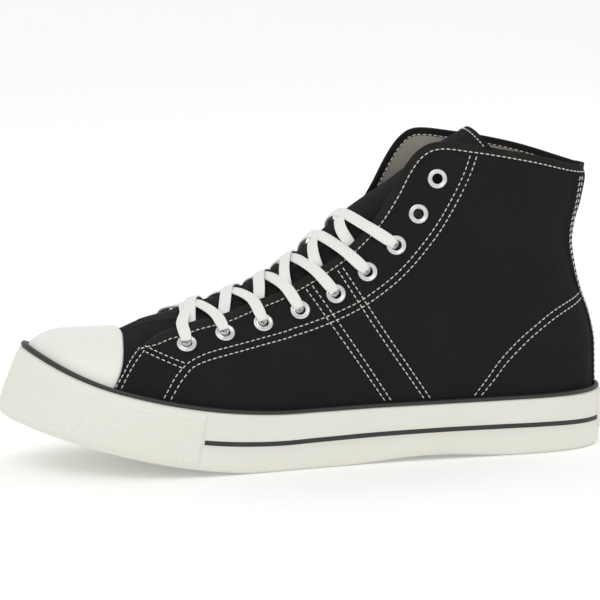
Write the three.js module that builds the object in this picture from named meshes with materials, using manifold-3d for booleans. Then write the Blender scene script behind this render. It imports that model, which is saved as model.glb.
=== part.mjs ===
// High top canvas sneaker, left foot, in millimetres.
// Heel towards +X, toe towards -X, outer side towards -Y, up +Z.
// Every piece is drawn on a flat sole first, and the toe spring then bends it.
import * as THREE from 'three';
import Module from 'manifold-3d';

const wasm = await Module();
wasm.setup();

// Sole
const SOLE_LENGTH = 301;
const BALL_WIDTH = 100;
const HEEL_WIDTH = 74;
const SIDEWALL_HEIGHT = 27.7;
const SIDEWALL_TOE_RISE = 5;
const TOE_SPRING = 28.5;
const ARCH_RISE = 2.2;
const FOXING_WALL = 2.4;
const FOXING_LIFT = 0.8;
const FOXING_EDGE = 3;
const FOXING_UNDERCUT = 1.6;
const FOXING_LEAN = 0.3;
const STRIPE_HEIGHT = 13.5;
const STRIPE_WIDTH = 2.4;
const STRIPE_RELIEF = 0.4;
const STRIPE_SLOPE = 0.3;
const PIPING_HEIGHT = 1.7;
const PIPING_LEAN = 0.1;
const BAND_DROP = 1;
const BAND_BEVEL = 0.6;
const BUMPER_THICKNESS = 1.2;
const BUMPER_STATIONS = 13;
const LABEL_THICKNESS = 1.2;
const LABEL_LIFT = 8;
const LABEL_STATIONS = 3;
const OUTSOLE_THICKNESS = 12;
const GROOVE_WIDTH = 3;
const GROOVE_DEPTH = 2.2;
const GROOVE_SPACING = 15;
const INSOLE_THICKNESS = 4;

// Upper
const TOE_HEIGHT = 53;
const INSTEP_HEIGHT = 95;
const COLLAR_HEIGHT = 155;
const COLLAR_TILT = 4;
const SHAFT_WIDTH = 60;
const HEEL_ROUND = 56;
const LINING_WALL = 1.2;
const QUARTER_STEP = 0.8;
const CAP_THICKNESS = 1.8;
const BACK_STAY_WIDTH = 24;
const BACK_STAY_THICKNESS = 1.1;
const BACK_STAY_RISE = 0.88;
const TONGUE_THICKNESS = 2;
const TONGUE_RADIUS = 37;
const TONGUE_WIDTH = 66;

// Lacing
const EYELETS_PER_SIDE = 9;
const EYELETS_LACED = 7;
const EYELET_SPACING = 19;
const EYELET_DIAMETER = 9.6;
const EYELET_BORE = 4.6;
const EYELET_SHEET = 0.8;
const EYELET_SIDES = 8;
const LACE_WIDTH = 5.6;
const LACE_THICKNESS = 1.3;

const GAP = 0.3;
const FEATHER_CLEARANCE = 0.85;
const INSOLE_CLEARANCE = 1.7;
const OUTER = -1;
const INNER = 1;

const HEEL_END = SOLE_LENGTH / 2;
const TOE_END = -SOLE_LENGTH / 2;
const SPRING_SHARE = 0.54;
const SPRING_START = HEEL_END - SPRING_SHARE * SOLE_LENGTH;
const SPRING_POWER = 1.75;
const ARCH_SHARE = 0.315;
const ARCH_HALF_SPAN = 0.155;
const TOE_RISE_SHARE = 0.85;
const SHAFT_HEIGHT = COLLAR_HEIGHT - INSTEP_HEIGHT;

function clamp(value, low, high) {
  return Math.min(Math.max(value, low), high);
}

function smooth(from, to, value) {
  return THREE.MathUtils.smoothstep(value, from, to);
}

// Curve through [position, value] rows that never overshoots a row.
function table(rows) {
  const slopes = rows.map(() => 0);
  const steps = [];
  for (let i = 0; i + 1 < rows.length; i += 1) {
    steps.push((rows[i + 1][1] - rows[i][1]) / (rows[i + 1][0] - rows[i][0]));
  }
  slopes[0] = steps[0];
  slopes[rows.length - 1] = steps[steps.length - 1];
  for (let i = 1; i + 1 < rows.length; i += 1) {
    const before = steps[i - 1];
    const after = steps[i];
    slopes[i] = before * after > 0 ? (2 * before * after) / (before + after) : 0;
  }
  return (position) => {
    const at = clamp(position, rows[0][0], rows[rows.length - 1][0]);
    let i = 0;
    while (i + 2 < rows.length && at > rows[i + 1][0]) {
      i += 1;
    }
    const width = rows[i + 1][0] - rows[i][0];
    const t = (at - rows[i][0]) / width;
    const rest = 1 - t;
    return rest * rest * (1 + 2 * t) * rows[i][1] + t * t * (3 - 2 * t) * rows[i + 1][1]
      + width * t * rest * (rest * slopes[i] - t * slopes[i + 1]);
  };
}

// Toe spring: a point at a distance along the flat sole and a height over it, bent upwards.
function bend(x, height) {
  const reach = SPRING_START - TOE_END;
  const share = Math.max(SPRING_START - x, 0) / reach;
  const lift = TOE_SPRING * share ** SPRING_POWER;
  const slope = (-TOE_SPRING * SPRING_POWER * share ** (SPRING_POWER - 1)) / reach;
  const run = Math.hypot(slope, 1);
  return [x - (height * slope) / run, lift + height / run];
}

// Plan of the sole: fullness of each side by share of the length from the heel.
// Rows: share, outer side in half heel or ball widths, inner side in the same.
const PLAN = [
  { share: 0, size: HEEL_WIDTH, outer: 2.0, inner: 2.0 },
  { share: 0.06, size: HEEL_WIDTH, outer: 1.7, inner: 1.7 },
  { share: 0.12, size: HEEL_WIDTH, outer: 1.46, inner: 1.46 },
  { share: 0.2, size: HEEL_WIDTH, outer: 1.24, inner: 1.2 },
  { share: 0.3, size: HEEL_WIDTH, outer: 1.12, inner: 1.0 },
  { share: 0.4, size: BALL_WIDTH, outer: 0.8, inner: 0.64 },
  { share: 0.5, size: BALL_WIDTH, outer: 0.85, inner: 0.65 },
  { share: 0.6, size: BALL_WIDTH, outer: 0.96, inner: 0.79 },
  { share: 0.72, size: BALL_WIDTH, outer: 1.13, inner: 1.07 },
  { share: 0.85, size: BALL_WIDTH, outer: 1.25, inner: 1.33 },
  { share: 0.94, size: BALL_WIDTH, outer: 1.26, inner: 1.5 },
  { share: 1, size: BALL_WIDTH, outer: 1.08, inner: 1.58 },
];
const FULLNESS = {
  [OUTER]: table(PLAN.map((row) => [row.share, (row.outer * row.size) / 2])),
  [INNER]: table(PLAN.map((row) => [row.share, (row.inner * row.size) / 2])),
};

function halfPlan(share, side) {
  const at = clamp(share, 0, 1);
  return 2 * Math.sqrt(at * (1 - at)) * FULLNESS[side](at);
}

// Share of the half width that is left when the plan is drawn smaller by an inset.
function insetShare(share, side, inset) {
  const widest = THREE.MathUtils.lerp(HEEL_WIDTH, BALL_WIDTH, smooth(0.3, 0.6, share)) / 2;
  return 1 - inset / Math.min(widest, FULLNESS[side](share));
}

// A place on the rim: turn 0 is the toe, 1 the heel, 2 the toe again.
function rimPoint(turn, inset) {
  const share = (1 + Math.cos(Math.PI * turn)) / 2;
  const wrapped = ((turn % 2) + 2) % 2;
  const side = wrapped < 1 ? OUTER : INNER;
  const depth = inset(share);
  const x = THREE.MathUtils.lerp(HEEL_END - inset(0), TOE_END + inset(1), share);
  return [x, side * halfPlan(share, side) * insetShare(share, side, depth)];
}

function stationShare(station) {
  return (1 + Math.cos((2 * Math.PI * station) / RIM_STEPS)) / 2;
}

function shareOf(x) {
  return (HEEL_END - x) / SOLE_LENGTH;
}

function placeOf(share) {
  return HEEL_END - share * SOLE_LENGTH;
}

// Height of a table row: its rise as a share of a size, some of them over another size.
function heightOf({ over = 0, size, rise }) {
  return over + rise * size;
}

function arch(x) {
  const from = (shareOf(x) - ARCH_SHARE) / ARCH_HALF_SPAN;
  return Math.abs(from) < 1 ? ARCH_RISE * Math.cos((Math.PI / 2) * from) ** 2 : 0;
}

function foxingTop(x) {
  const rise = Math.max(shareOf(x) - TOE_RISE_SHARE, 0) / (1 - TOE_RISE_SHARE);
  return SIDEWALL_HEIGHT + SIDEWALL_TOE_RISE * rise ** 2;
}

// A closed solid from corner places and faces, turned to face outwards.
function closedSolid(places, faces) {
  const volume = faces.reduce((sum, face) => {
    const [a, b, c] = face.map((index) => new THREE.Vector3(...places[index]));
    return sum + a.dot(b.cross(c)) / 6;
  }, 0);
  const outward = volume < 0 ? faces.map(([a, b, c]) => [a, c, b]) : faces;
  return new wasm.Manifold(new wasm.Mesh({
    numProp: 3,
    vertProperties: new Float32Array(places.flat()),
    triVerts: new Uint32Array(outward.flat()),
  }));
}

// Collects faces over bent points and turns them into one closed solid.
class Skin {
  constructor() {
    this.places = [];
    this.faces = [];
    this.found = new Map();
  }

  point([x, y, height]) {
    const [bentX, bentZ] = bend(x, height);
    const place = [bentX, y, bentZ];
    const key = place.map((value) => Math.round(value * 2000)).join(' ');
    if (!this.found.has(key)) {
      this.found.set(key, this.places.length);
      this.places.push(place);
    }
    return this.found.get(key);
  }

  face(a, b, c) {
    const [i, j, k] = [this.point(a), this.point(b), this.point(c)];
    if (i !== j && j !== k && k !== i) {
      this.faces.push([i, j, k]);
    }
  }

  quad(a, b, c, d) {
    this.face(a, b, c);
    this.face(a, c, d);
  }

  solid() {
    return closedSolid(this.places, this.faces);
  }
}

// A band round the rim: a closed section of insets and heights, run between two stations.
const RIM_STEPS = 72;
const SLAB_STEPS = 30;

function rimBand(section, from, to) {
  const skin = new Skin();
  const rows = [];
  const steps = to - from;
  for (let i = from; i <= to; i += 1) {
    rows.push(section.map(({ inset, height }) => {
      const [x, y] = rimPoint((2 * i) / RIM_STEPS, inset);
      return [x, y, height(x)];
    }));
  }
  for (let i = 0; i < steps; i += 1) {
    for (let j = 0; j < section.length; j += 1) {
      const k = (j + 1) % section.length;
      skin.quad(rows[i][j], rows[i + 1][j], rows[i + 1][k], rows[i][k]);
    }
  }
  if (steps < RIM_STEPS) {
    for (let j = 1; j + 1 < section.length; j += 1) {
      skin.face(rows[0][0], rows[0][j], rows[0][j + 1]);
      skin.face(rows[steps][0], rows[steps][j + 1], rows[steps][j]);
    }
  }
  return skin.solid();
}

// A slab inside the rim, between two heights.
function rimSlab(inset, bottom, top, steps) {
  const skin = new Skin();
  const at = (turn, height) => {
    const [x, y] = rimPoint(turn, inset);
    return [x, y, height(x)];
  };
  for (let i = 0; i < steps; i += 1) {
    const here = i / steps;
    const next = (i + 1) / steps;
    skin.quad(at(here, top), at(next, top), at(2 - next, top), at(2 - here, top));
    skin.quad(at(2 - here, bottom), at(2 - next, bottom), at(next, bottom), at(here, bottom));
    skin.quad(at(here, bottom), at(next, bottom), at(next, top), at(here, top));
    skin.quad(at(2 - here, top), at(2 - next, top), at(2 - next, bottom), at(2 - here, bottom));
  }
  return skin.solid();
}

// Form of the upper on its last. Heights over the flat sole.
const FEATHER_HEIGHT = OUTSOLE_THICKNESS + GAP;
const SHOULDER_DEPTH = 5.5;
const CROWN_POWER = 2.2;
const FORM_TOP = 1.13 * COLLAR_HEIGHT;
const SHAFT_BLEND = { low: 0.26 * COLLAR_HEIGHT, high: 0.84 * COLLAR_HEIGHT };
const SLOPE_STEP = 0.004;

function featherInset(share) {
  const atSides = FOXING_WALL + FEATHER_CLEARANCE + QUARTER_STEP;
  const atToe = FOXING_WALL + GAP + CAP_THICKNESS + GAP;
  return THREE.MathUtils.lerp(atSides, atToe, smooth(0.7, 0.85, share));
}

// Ridge over the toes, instep and front of the shaft: share from the heel, height.
const RIDGE = [
  { share: 0.289, over: INSTEP_HEIGHT, size: SHAFT_HEIGHT, rise: 1.904 },
  { share: 0.349, over: INSTEP_HEIGHT, size: SHAFT_HEIGHT, rise: 1.387 },
  { share: 0.385, over: INSTEP_HEIGHT, size: SHAFT_HEIGHT, rise: 0.922 },
  { share: 0.434, over: INSTEP_HEIGHT, size: SHAFT_HEIGHT, rise: 0.509 },
  { share: 0.467, over: INSTEP_HEIGHT, size: SHAFT_HEIGHT, rise: 0.317 },
  { share: 0.51, over: INSTEP_HEIGHT, size: SHAFT_HEIGHT, rise: 0.12 },
  { share: 0.546, size: INSTEP_HEIGHT, rise: 0.998 },
  { share: 0.606, size: INSTEP_HEIGHT, rise: 0.921 },
  { share: 0.645, size: INSTEP_HEIGHT, rise: 0.871 },
  { share: 0.691, size: INSTEP_HEIGHT, rise: 0.814 },
  { share: 0.746, size: INSTEP_HEIGHT, rise: 0.741 },
  { share: 0.811, size: INSTEP_HEIGHT, rise: 0.634 },
  { share: 0.847, size: TOE_HEIGHT, rise: 1 },
  { share: 0.887, size: TOE_HEIGHT, rise: 0.935 },
  { share: 0.919, size: TOE_HEIGHT, rise: 0.885 },
  { share: 0.949, size: TOE_HEIGHT, rise: 0.828 },
  { share: 0.972, size: TOE_HEIGHT, rise: 0.74 },
  { share: 0.981, size: TOE_HEIGHT, rise: 0.675 },
  { share: 0.985, size: TOE_HEIGHT, rise: 0.61 },
];
const ridgeHeight = table(RIDGE.map((row) => [row.share, heightOf(row)]));

// Back line of the heel: height share of the collar, setback from the heel end.
const BACK_LINE = [
  { rise: 0.08, setback: 0 },
  { rise: 0.32, setback: 0.2 },
  { rise: 0.42, setback: 2.8 },
  { rise: 0.5, setback: 7 },
  { rise: 0.58, setback: 9.8 },
  { rise: 0.65, setback: 11.1 },
  { rise: 0.7, setback: 10.2 },
  { rise: 0.78, setback: 6.6 },
  { rise: 0.87, setback: 3.8 },
  { rise: 1.13, setback: 0.5 },
];
const backSetback = table(BACK_LINE.map((row) => [row.rise * COLLAR_HEIGHT, row.setback]));

function backX(height, grow) {
  return HEEL_END - featherInset(0) - backSetback(height) + grow;
}

function toeX(grow) {
  return TOE_END + featherInset(1) - grow;
}

function ridgeAt(x, grow) {
  const share = shareOf(x);
  const rise = ridgeHeight(share - SLOPE_STEP) - ridgeHeight(share + SLOPE_STEP);
  const slope = rise / (2 * SLOPE_STEP * SOLE_LENGTH);
  return ridgeHeight(share) + grow * Math.hypot(slope, 1);
}

// Half width of the form at a place along the shoe and a height.
function formHalfWidth(x, height, side, grow) {
  const back = backX(height, grow);
  const share = clamp((back - x) / (back - toeX(grow)), 0, 1);
  const foot = halfPlan(share, side) * insetShare(share, side, featherInset(share) - grow);
  const round = 1 - clamp((back - x) / HEEL_ROUND, 0, 1);
  const shaft = (SHAFT_WIDTH / 2 + grow) * Math.sqrt(1 - round ** 2);
  const blend = smooth(SHAFT_BLEND.low, SHAFT_BLEND.high, height);
  const shoulder = foxingTop(x) - SHOULDER_DEPTH;
  const crown = clamp((height - shoulder) / (ridgeAt(x, grow) - shoulder), 0, 1);
  return THREE.MathUtils.lerp(foot, shaft, blend) * Math.sqrt(1 - crown ** CROWN_POWER);
}

// Place on a polyline at a share of its length.
function along(points, share) {
  const lengths = [0];
  for (let i = 1; i < points.length; i += 1) {
    const step = Math.hypot(points[i][0] - points[i - 1][0], points[i][1] - points[i - 1][1]);
    lengths.push(lengths[i - 1] + step);
  }
  const target = clamp(share, 0, 1) * lengths[lengths.length - 1];
  let i = 1;
  while (i + 1 < points.length && lengths[i] < target) {
    i += 1;
  }
  const t = (target - lengths[i - 1]) / (lengths[i] - lengths[i - 1]);
  return [0, 1].map((axis) => THREE.MathUtils.lerp(points[i - 1][axis], points[i][axis], t));
}

// The closed form of the upper, larger by a growth all round, down to a chosen height.
// Its sections fan from upright at the toe to level at the collar.
const FOOT_SECTIONS = 20;
const SHAFT_SECTIONS = 9;
const SECTION_STEPS = 9;
const HEEL_TURN = FOOT_SECTIONS / (FOOT_SECTIONS + SHAFT_SECTIONS);
const RIDGE_TURN = 0.64;
const RIDGE_STEPS = 80;
const RIDGE_CROWDING = 1.3;
const SHAFT_CROWDING = 1.15;
const TIP_DEPTH = 3;
const BACK_STEPS = 40;

function upperForm(grow, bottom) {
  const ridge = [[toeX(grow), ridgeHeight(1)]];
  for (let i = 1; i <= RIDGE_STEPS; i += 1) {
    const run = (i / RIDGE_STEPS) ** RIDGE_CROWDING;
    const x = THREE.MathUtils.lerp(toeX(grow), placeOf(RIDGE[0].share), run);
    const height = ridgeAt(x, grow);
    if (height < FORM_TOP) {
      ridge.push([x, height]);
    }
  }
  ridge.push([ridge[ridge.length - 1][0] + TIP_DEPTH, FORM_TOP]);
  const back = [];
  for (let i = 0; i <= BACK_STEPS; i += 1) {
    const height = THREE.MathUtils.lerp(bottom, FORM_TOP, i / BACK_STEPS);
    back.push([backX(height, grow), height]);
  }
  const sections = [];
  for (let i = 0; i <= FOOT_SECTIONS + SHAFT_SECTIONS; i += 1) {
    const onFoot = i <= FOOT_SECTIONS;
    const foot = (1 - Math.cos((Math.PI * i) / FOOT_SECTIONS)) / 2;
    const rise = (i - FOOT_SECTIONS) / SHAFT_SECTIONS;
    const low = onFoot
      ? [THREE.MathUtils.lerp(toeX(grow), backX(bottom, grow), foot), bottom]
      : along(back, rise ** SHAFT_CROWDING);
    const upperShare = onFoot ? RIDGE_TURN * foot : THREE.MathUtils.lerp(RIDGE_TURN, 1, rise);
    const high = along(ridge, upperShare);
    const both = smooth(0.85, 1, i / (FOOT_SECTIONS + SHAFT_SECTIONS) / HEEL_TURN);
    const rows = { [OUTER]: [], [INNER]: [] };
    for (let j = 0; j <= SECTION_STEPS; j += 1) {
      const t = j / SECTION_STEPS;
      const toRidge = Math.sin((Math.PI * t) / 2);
      const toBothEnds = (1 - Math.cos(Math.PI * t)) / 2;
      const share = THREE.MathUtils.lerp(toRidge, toBothEnds, both);
      const x = THREE.MathUtils.lerp(low[0], high[0], share);
      const height = THREE.MathUtils.lerp(low[1], high[1], share);
      const closed = j === SECTION_STEPS || i === 0 || (i >= FOOT_SECTIONS && j === 0);
      for (const side of [OUTER, INNER]) {
        const half = closed ? 0 : formHalfWidth(x, height, side, grow);
        rows[side].push([x, side * half, height]);
      }
    }
    sections.push(rows);
  }
  const skin = new Skin();
  for (let i = 0; i + 1 < sections.length; i += 1) {
    const here = sections[i];
    const next = sections[i + 1];
    for (let j = 0; j < SECTION_STEPS; j += 1) {
      skin.quad(here[OUTER][j], here[OUTER][j + 1], next[OUTER][j + 1], next[OUTER][j]);
      skin.quad(here[INNER][j], next[INNER][j], next[INNER][j + 1], here[INNER][j + 1]);
    }
    skin.quad(here[OUTER][0], next[OUTER][0], next[INNER][0], here[INNER][0]);
  }
  const top = sections[sections.length - 1];
  for (let j = 0; j < SECTION_STEPS; j += 1) {
    skin.quad(top[OUTER][j], top[OUTER][j + 1], top[INNER][j + 1], top[INNER][j]);
  }
  return skin.solid();
}

// A cutter through the whole width: a closed outline in the side view, bent with the sole.
const CUTTER_REACH = BALL_WIDTH;

function sideCutter(outline) {
  const bent = outline.map(([x, height]) => new THREE.Vector2(...bend(x, height)));
  const shape = new THREE.Shape(bent);
  const depth = 2 * CUTTER_REACH;
  const geometry = new THREE.ExtrudeGeometry(shape, { depth, bevelEnabled: false, steps: 1 });
  geometry.rotateX(Math.PI / 2);
  geometry.translate(0, CUTTER_REACH, 0);
  return solidOf(geometry);
}

function solidOf(geometry) {
  const source = geometry.index ? geometry.toNonIndexed() : geometry;
  const values = source.getAttribute('position').array;
  const places = [];
  const found = new Map();
  const triangles = [];
  for (let i = 0; i < values.length; i += 9) {
    const corners = [0, 3, 6].map((step) => {
      const place = [values[i + step], values[i + step + 1], values[i + step + 2]];
      const key = place.map((value) => Math.round(value * 5000)).join(' ');
      if (!found.has(key)) {
        found.set(key, places.length);
        places.push(place);
      }
      return found.get(key);
    });
    if (new Set(corners).size === 3) {
      triangles.push(corners);
    }
  }
  return closedSolid(places, triangles);
}

// A smooth line through side view rows of length and height shares.
function sideLine(rows, divisions) {
  const points = rows.map((row) => new THREE.Vector3(placeOf(row.share), heightOf(row), 0));
  const curve = new THREE.CatmullRomCurve3(points, false, 'centripetal');
  return curve.getPoints(divisions).map((point) => [point.x, point.y]);
}

// Edge of the throat and of the collar, from the throat base round to the heel.
const TOP_EDGE = [
  { share: 0.79, size: INSTEP_HEIGHT, rise: 0.62 },
  { share: 0.765, size: INSTEP_HEIGHT, rise: 0.653 },
  { share: 0.73, size: INSTEP_HEIGHT, rise: 0.702 },
  { share: 0.684, size: INSTEP_HEIGHT, rise: 0.748 },
  { share: 0.62, size: INSTEP_HEIGHT, rise: 0.825 },
  { share: 0.54, size: INSTEP_HEIGHT, rise: 0.903 },
  { share: 0.49, size: INSTEP_HEIGHT, rise: 0.985 },
  { share: 0.439, over: INSTEP_HEIGHT, size: SHAFT_HEIGHT, rise: 0.15 },
  { share: 0.397, over: INSTEP_HEIGHT, size: SHAFT_HEIGHT, rise: 0.359 },
  { share: 0.37, over: INSTEP_HEIGHT, size: SHAFT_HEIGHT, rise: 0.579 },
  { share: 0.35, over: INSTEP_HEIGHT, size: SHAFT_HEIGHT, rise: 0.793 },
  { share: 0.333, over: INSTEP_HEIGHT, size: SHAFT_HEIGHT, rise: 0.935 },
  { share: 0.305, over: INSTEP_HEIGHT, size: SHAFT_HEIGHT, rise: 0.995 },
  { share: 0.23, over: INSTEP_HEIGHT, size: SHAFT_HEIGHT, rise: 0.951 },
  { share: 0.13, over: INSTEP_HEIGHT, size: SHAFT_HEIGHT, rise: 0.845 },
  { share: 0.05, over: INSTEP_HEIGHT, size: SHAFT_HEIGHT, rise: 0.742 },
  { share: -0.02, over: INSTEP_HEIGHT, size: SHAFT_HEIGHT, rise: 0.703 },
];

function openingCutter() {
  const edge = sideLine(TOP_EDGE, 48);
  const start = edge[0];
  const end = edge[edge.length - 1];
  const cutter = sideCutter([...edge, [end[0], 2 * COLLAR_HEIGHT], [start[0], 2 * COLLAR_HEIGHT]]);
  return cutter.warp((place) => {
    const collar = smooth(placeOf(0.36), placeOf(0.3), place[0]);
    place[2] += (COLLAR_TILT * collar * (place[1] + SHAFT_WIDTH / 2)) / SHAFT_WIDTH;
  });
}

// Front edge of the quarters, from the throat down to the sole behind the toe cap.
const QUARTER_FRONT = [
  { share: 0.785, size: INSTEP_HEIGHT, rise: 0.9 },
  { share: 0.785, size: INSTEP_HEIGHT, rise: 0.63 },
  { share: 0.806, size: INSTEP_HEIGHT, rise: 0.58 },
  { share: 0.826, size: INSTEP_HEIGHT, rise: 0.52 },
  { share: 0.844, size: INSTEP_HEIGHT, rise: 0.41 },
  { share: 0.856, size: INSTEP_HEIGHT, rise: 0.3 },
  { share: 0.864, size: INSTEP_HEIGHT, rise: 0.1 },
];

function quarterCutter() {
  const edge = sideLine(QUARTER_FRONT, 20);
  const behind = HEEL_END + BALL_WIDTH;
  const above = 2 * COLLAR_HEIGHT;
  const corners = [[placeOf(0.5), 0], [behind, 0], [behind, above], [edge[0][0], above]];
  return sideCutter([...edge, ...corners]);
}

// Rear edge of the toe cap, from the ridge down to the sole.
const CAP_EDGE = [
  { share: 0.846, size: TOE_HEIGHT, rise: 1.3 },
  { share: 0.846, size: TOE_HEIGHT, rise: 1.0 },
  { share: 0.849, size: TOE_HEIGHT, rise: 0.85 },
  { share: 0.853, size: TOE_HEIGHT, rise: 0.72 },
  { share: 0.862, size: TOE_HEIGHT, rise: 0.6 },
  { share: 0.875, size: TOE_HEIGHT, rise: 0.3 },
];

function capCutter() {
  const edge = sideLine(CAP_EDGE, 16);
  const ahead = TOE_END - BALL_WIDTH;
  const floor = FEATHER_HEIGHT + GAP;
  const last = edge[edge.length - 1];
  const above = 2 * TOE_HEIGHT;
  return sideCutter([...edge, [last[0], floor], [ahead, floor], [ahead, above], [edge[0][0], above]]);
}

// Row of the eyelets in the side view.
const EYELET_ROW = [
  { share: 0.7454, size: INSTEP_HEIGHT, rise: 0.6029 },
  { share: 0.6844, size: INSTEP_HEIGHT, rise: 0.673 },
  { share: 0.6103, size: INSTEP_HEIGHT, rise: 0.736 },
  { share: 0.5269, size: INSTEP_HEIGHT, rise: 0.799 },
  { share: 0.4668, size: INSTEP_HEIGHT, rise: 0.869 },
  { share: 0.413, size: INSTEP_HEIGHT, rise: 0.971 },
  { share: 0.3638, over: INSTEP_HEIGHT, size: SHAFT_HEIGHT, rise: 0.16 },
  { share: 0.3279, over: INSTEP_HEIGHT, size: SHAFT_HEIGHT, rise: 0.411 },
  { share: 0.2983, over: INSTEP_HEIGHT, size: SHAFT_HEIGHT, rise: 0.698 },
  { share: 0.285, over: INSTEP_HEIGHT, size: SHAFT_HEIGHT, rise: 0.897 },
];

function eyeletPlaces() {
  const line = sideLine(EYELET_ROW, 400);
  const places = [line[0]];
  let run = 0;
  for (let i = 1; i < line.length && places.length < EYELETS_PER_SIDE; i += 1) {
    const before = bend(...line[i - 1]);
    const here = bend(...line[i]);
    run += Math.hypot(here[0] - before[0], here[1] - before[1]);
    if (run >= EYELET_SPACING * places.length) {
      places.push(line[i]);
    }
  }
  return places;
}

// Point and outward direction on the form, after the toe spring.
function surfacePoint(x, height, side, grow) {
  const [bentX, bentZ] = bend(x, height);
  return new THREE.Vector3(bentX, side * formHalfWidth(x, height, side, grow), bentZ);
}

function surfaceNormal(x, height, side, grow) {
  const step = 1.5;
  const ahead = surfacePoint(x + step, height, side, grow).sub(surfacePoint(x - step, height, side, grow));
  const up = surfacePoint(x, height + step, side, grow).sub(surfacePoint(x, height - step, side, grow));
  const normal = ahead.cross(up).normalize();
  return normal.y * side < 0 ? normal.negate() : normal;
}

function facing(geometry, place, direction) {
  const turn = new THREE.Quaternion().setFromUnitVectors(new THREE.Vector3(0, 1, 0), direction);
  geometry.applyQuaternion(turn);
  geometry.translate(place.x, place.y, place.z);
  return geometry;
}

// One eyelet ring: a flange outside and a barrel through the wall.
function eyeletRing(place, direction) {
  const bore = EYELET_BORE / 2;
  const barrel = bore + EYELET_SHEET / 2;
  const rim = EYELET_DIAMETER / 2;
  const inside = -QUARTER_STEP - LINING_WALL;
  const profile = [
    [bore, inside],
    [barrel, inside],
    [barrel, GAP],
    [rim, GAP],
    [rim - EYELET_SHEET, GAP + EYELET_SHEET],
    [bore, GAP + EYELET_SHEET],
    [bore, inside],
  ].map(([radius, level]) => new THREE.Vector2(radius, level));
  return solidOf(facing(new THREE.LatheGeometry(profile, EYELET_SIDES), place, direction));
}

function eyeletHole(place, direction) {
  const radius = EYELET_BORE / 2 + EYELET_SHEET / 2 + GAP;
  const depth = 6 * (LINING_WALL + QUARTER_STEP);
  return solidOf(facing(new THREE.CylinderGeometry(radius, radius, depth, EYELET_SIDES), place, direction));
}

// Tongue: an arched strip along its own line, kept inside the upper.
const TONGUE_LINE = [
  { share: 0.815, size: INSTEP_HEIGHT, rise: 0.605 },
  { share: 0.746, size: INSTEP_HEIGHT, rise: 0.722 },
  { share: 0.691, size: INSTEP_HEIGHT, rise: 0.796 },
  { share: 0.645, size: INSTEP_HEIGHT, rise: 0.852 },
  { share: 0.606, size: INSTEP_HEIGHT, rise: 0.902 },
  { share: 0.546, size: INSTEP_HEIGHT, rise: 0.979 },
  { share: 0.51, over: INSTEP_HEIGHT, size: SHAFT_HEIGHT, rise: 0.082 },
  { share: 0.466, over: INSTEP_HEIGHT, size: SHAFT_HEIGHT, rise: 0.269 },
  { share: 0.421, over: INSTEP_HEIGHT, size: SHAFT_HEIGHT, rise: 0.434 },
  { share: 0.348, over: INSTEP_HEIGHT, size: SHAFT_HEIGHT, rise: 0.659 },
  { share: 0.26, over: INSTEP_HEIGHT, size: SHAFT_HEIGHT, rise: 0.951 },
  { share: 0.218, over: INSTEP_HEIGHT, size: SHAFT_HEIGHT, rise: 1.067 },
];
const TONGUE_STEPS = 16;
const TONGUE_SIDES = 6;

function tongueFrame(line, index) {
  const before = line[Math.max(index - 1, 0)];
  const after = line[Math.min(index + 1, line.length - 1)];
  const run = Math.hypot(after[0] - before[0], after[1] - before[1]);
  return { at: line[index], normal: [-(after[1] - before[1]) / run, (after[0] - before[0]) / run] };
}

function tongueForm() {
  const line = sideLine(TONGUE_LINE, TONGUE_STEPS);
  const skin = new Skin();
  const spread = TONGUE_WIDTH / 2 / TONGUE_RADIUS;
  const rows = line.map((unused, index) => {
    const { at, normal } = tongueFrame(line, index);
    const loop = [];
    for (const [radius, direction] of [[TONGUE_RADIUS, 1], [TONGUE_RADIUS - TONGUE_THICKNESS, -1]]) {
      for (let j = 0; j <= TONGUE_SIDES; j += 1) {
        const angle = direction * spread * ((2 * j) / TONGUE_SIDES - 1);
        const drop = radius * Math.cos(angle) - TONGUE_RADIUS;
        loop.push([at[0] + normal[0] * drop, radius * Math.sin(angle), at[1] + normal[1] * drop]);
      }
    }
    return loop;
  });
  const count = rows[0].length;
  for (let i = 0; i + 1 < rows.length; i += 1) {
    for (let j = 0; j < count; j += 1) {
      const k = (j + 1) % count;
      skin.quad(rows[i][j], rows[i + 1][j], rows[i + 1][k], rows[i][k]);
    }
  }
  for (const row of [rows[0], rows[rows.length - 1]]) {
    const first = row === rows[0];
    for (let j = 0; j < TONGUE_SIDES; j += 1) {
      const corners = [row[j], row[j + 1], row[count - 2 - j], row[count - 1 - j]];
      skin.quad(...(first ? corners : corners.reverse()));
    }
  }
  return skin.solid();
}

// Tread grooves: chevrons across the forefoot and the heel.
const GROOVE_LEAD = 0.22;
const TREAD_STRETCHES = [[0.03, 0.25], [0.475, 0.95]];

function grooves() {
  const cutters = [];
  for (const [from, to] of TREAD_STRETCHES) {
    const count = Math.floor(((to - from) * SOLE_LENGTH) / GROOVE_SPACING);
    for (let i = 0; i <= count; i += 1) {
      const x = placeOf(from) - i * GROOVE_SPACING;
      for (const side of [OUTER, INNER]) {
        cutters.push(grooveArm(x, side));
      }
    }
  }
  return cutters;
}

function grooveArm(x, side) {
  const skin = new Skin();
  const reach = BALL_WIDTH;
  const lead = GROOVE_LEAD * reach;
  const depth = arch(x) + GROOVE_DEPTH;
  const corners = [-GROOVE_DEPTH, depth].map((height) => [
    [x - GROOVE_WIDTH / 2, -GAP * side, height],
    [x + GROOVE_WIDTH / 2, -GAP * side, height],
    [x + GROOVE_WIDTH / 2 + lead, reach * side, height],
    [x - GROOVE_WIDTH / 2 + lead, reach * side, height],
  ]);
  const [low, high] = corners;
  skin.quad(...low);
  skin.quad(...[...high].reverse());
  for (let j = 0; j < 4; j += 1) {
    const k = (j + 1) % 4;
    skin.quad(low[k], low[j], high[j], high[k]);
  }
  return skin.solid();
}

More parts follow.
